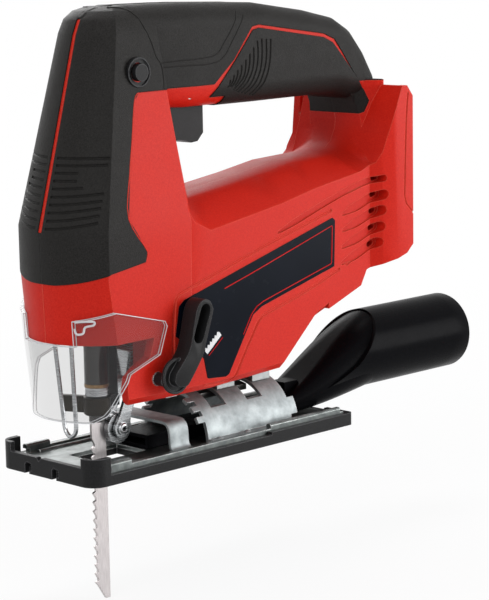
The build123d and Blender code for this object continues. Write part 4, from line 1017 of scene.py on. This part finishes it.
def spot_welds(edge=23.2, top=6.2):
    """Low round welds that hold the bracket to the plate."""
    source = placed("weld_source", lathe(
        [(0.0, 0.9), (0.9, 0.8), (1.6, 0.45), (2.0, -0.2), (0.0, -0.2)], upright, 20))
    places = [(x, side * edge, top) for x in (51.0, 68.0, 86.0) for side in (-1, 1)]
    points = bpy.data.meshes.new("weld_points")
    points.from_pydata([tuple(MM * c for c in p) for p in places], [], [])
    facing = points.attributes.new("facing", "FLOAT_VECTOR", "POINT")
    facing.data.foreach_set("vector", [0.0, 0.0, 1.0] * len(places))
    welds = run_tree("spot_welds", points, spread_on_points, Piece=source, Size=1.0,
                     Finish=zinc)
    bpy.data.objects.remove(source)
    smooth_faces(welds, 60)
    settle("spot_welds", welds, zinc, "shoe", "zinc sheet")


strap_band()
plate_ribs()
spot_welds()


# -------------------------------------------------------------- small fasteners
screw_spots = [(22.0, 66.0), (36.0, 140.0), (30.0, 185.0), (94.0, 176.0), (150.0, 163.0),
               (116.0, 105.0), (116.0, 70.0), (60.0, 45.0), (-9.8, 144.0)]


barrel_head = 19.4      # faces of the screw heads, from the middle
handle_head = 11.0


def drive_cutter(x, z):
    """Star drive in a screw head, which sits deeper in the handle than in the barrel."""
    face = barrel_head if z < 130 and x < 140 else handle_head
    return prism(star(x, z, 1.7, 0.14), beside(1), face - 1.6, face + 2)


carved("housing_screws", "shell_screws", dark_steel, "dark steel",
       [drive_cutter(x, z) for x, z in screw_spots])

axle_x, axle_z = 9.35, 15.4
rivet_head = lathe([(0.0, 6.9), (1.7, 6.9), (2.3, 6.6), (2.6, 6.1), (2.6, 5.9), (0.0, 5.9)],
                   across(axle_x, axle_z), 32)
rivet = cut_mesh(rivet_head, [prism(star(axle_x, axle_z, 1.15, 0.16), beside(-1), 6.3, 8.0)])
smooth_faces(rivet)
settle("axle_rivet", rivet, bright, "pendulum_fork", "bright steel")

# clip that holds the guard to the nose
clip_line = [(-25.5, -16.8, 68.2), (-23.4, -20.4, 68.6), (-21.2, -23.8, 68.6),
             (-21.2, -23.8, 67.2), (-23.2, -20.7, 66.2), (-23.6, -19.8, 63.6),
             (-25.0, -17.2, 63.2), (-25.5, -16.6, 65.6)]
settle("guard_clip", bead_mesh([rounded(clip_line, 4)], 0.5, clear_edge_highlight, 10), clear_edge_highlight,
       "clear_guard", "clear plastic")

# fine red line where the overmould meets the shell
grip_trim = [(9.5, 161.2), (6.4, 158.0), (2.6, 142.0), (-0.6, 129.0), (-4.1, 110.0),
             (5.3, 95.6), (4.5, 91.2)]
trim_names = {"left": "line.066", "right": "line.068"}       # fixed names of these pieces
for side, word in SIDES:
    laid = side_skin.from_side(rounded(grip_trim, 4), side, -0.1)
    settle(trim_names[word], bead_mesh([laid], 0.3, red_shell), red_shell, "housing",
           "red shell plastic")


def spindle_sleeve(bore=4.5):
    """Bright sleeve between the bronze ring and the collar of the blade clamp."""
    ring = [v.co / MM for v in frame["nodes"]["clamp_ring"].data.vertices]
    top = min(p.z for p in ring) - 0.1
    reach = max(p.x for p in ring) - 0.25
    collar = [v.co.z / MM for v in frame["nodes"]["clamp_collar"].data.vertices]
    foot = max(collar) + 0.35
    sleeve = lathe([(bore, foot), (reach - 0.3, foot), (reach, foot + 0.35), (reach, top),
                    (bore, top), (bore, foot)], upright)
    smooth_faces(sleeve)
    settle("spindle_sleeve", sleeve, bright, "plunger", "bright steel")


spindle_sleeve()


# ------------------------------------------------------------- floor and light
floor_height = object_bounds()[0].z - 0.0005


def seen_rays(tree):
    """1 for rays that see the backdrop: camera, mirror and see-through rays."""
    path = tree.nodes.new("ShaderNodeLightPath")
    total = path.outputs["Is Camera Ray"]
    for ray in ("Is Glossy Ray", "Is Transmission Ray"):
        either = tree.nodes.new("ShaderNodeMath")
        either.operation = "MAXIMUM"
        tree.links.new(total, either.inputs[0])
        tree.links.new(path.outputs[ray], either.inputs[1])
        total = either.outputs["Value"]
    return total


def pale_floor(name, shade, reach):
    """White to the eye, with a trace of shadow close to the object."""
    n = Nodes(name)
    white = n.add("ShaderNodeEmission")
    white.inputs["Strength"].default_value = 1.0
    lit = n.add("ShaderNodeBsdfDiffuse")
    lit.inputs["Color"].default_value = (0.86, 0.86, 0.86, 1)
    apart = n.add("ShaderNodeVectorMath", operation="LENGTH")
    n.link(n.place(), apart.inputs[0])
    soft = n.add("ShaderNodeMixShader")
    n.link(n.span(apart.outputs["Value"], shade, 0.0, 0.3 * reach, reach), soft.inputs["Fac"])
    n.link(white.outputs["Emission"], soft.inputs[1])
    n.link(lit.outputs["BSDF"], soft.inputs[2])
    choose = n.add("ShaderNodeMixShader")
    n.link(seen_rays(n.tree), choose.inputs["Fac"])
    n.link(lit.outputs["BSDF"], choose.inputs[1])
    n.link(soft.outputs["Shader"], choose.inputs[2])
    output = n.add("ShaderNodeOutputMaterial")
    n.link(choose.outputs["Shader"], output.inputs["Surface"])
    return n.material


def make_floor():
    mesh = bpy.data.meshes.new("floor")
    reach = 6.0
    corners = [(-reach, -reach), (reach, -reach), (reach, reach), (-reach, reach)]
    mesh.from_pydata([(x, y, floor_height) for x, y in corners], [], [(0, 1, 2, 3)])
    floor = bpy.data.objects.new("floor", mesh)
    bpy.context.scene.collection.objects.link(floor)
    mesh.materials.append(pale_floor("floor_white", 0.12, 0.9))


def make_world(strength):
    world = bpy.data.worlds.new("studio")
    bpy.context.scene.world = world
    world.use_nodes = True
    tree = world.node_tree
    tree.nodes.clear()
    grey = tree.nodes.new("ShaderNodeBackground")
    grey.inputs["Color"].default_value = (0.95, 0.97, 1.0, 1)
    grey.inputs["Strength"].default_value = strength
    white = tree.nodes.new("ShaderNodeBackground")
    white.inputs["Color"].default_value = (1, 1, 1, 1)
    white.inputs["Strength"].default_value = 1.0
    choose = tree.nodes.new("ShaderNodeMixShader")
    tree.links.new(seen_rays(tree), choose.inputs["Fac"])
    tree.links.new(grey.outputs["Background"], choose.inputs[1])
    tree.links.new(white.outputs["Background"], choose.inputs[2])
    output = tree.nodes.new("ShaderNodeOutputWorld")
    tree.links.new(choose.outputs["Shader"], output.inputs["Surface"])


def add_lamp(name, place, aim, size, power):
    data = bpy.data.lights.new(name, "AREA")
    data.shape = "RECTANGLE"
    data.size, data.size_y = size
    data.energy = power
    lamp = bpy.data.objects.new(name, data)
    lamp.location = place
    lamp.rotation_euler = (Vector(place) - Vector(aim)).to_track_quat("Z", "Y").to_euler()
    bpy.context.scene.collection.objects.link(lamp)


def add_camera(aim, azimuth, elevation, roll, distance, lens):
    """Camera that looks at a point from a distance, turned about its own axis."""
    back = Vector((cos(elevation) * cos(azimuth), cos(elevation) * sin(azimuth),
                   sin(elevation)))
    data = bpy.data.cameras.new("camera")
    data.lens = lens
    data.clip_start = 0.01
    camera = bpy.data.objects.new("camera", data)
    turn = back.to_track_quat("Z", "Y").to_matrix().to_4x4() @ Matrix.Rotation(-roll, 4, "Z")
    camera.matrix_world = Matrix.Translation(Vector(aim) + back * distance) @ turn
    bpy.context.scene.collection.objects.link(camera)
    bpy.context.scene.camera = camera


middle = Vector((0.07, 0, 0.08))
make_floor()
make_world(0.36)
add_lamp("side", (1.05, -1.05, 0.30), middle, (0.8, 0.9), 17)
add_lamp("front", (-1.15, -0.55, 0.85), middle, (0.8, 0.8), 8)
add_lamp("top", (0.15, 0.2, 1.4), middle, (0.9, 0.5), 6)
add_lamp("rim", (0.6, 1.1, 0.7), middle, (0.6, 0.6), 5)
add_camera(aim=(0.0759, -0.0149, 0.0640), azimuth=radians(-134.908), elevation=radians(9.632),
           roll=radians(1.019), distance=0.962, lens=128.94)
bpy.context.scene.view_settings.view_transform = "Standard"
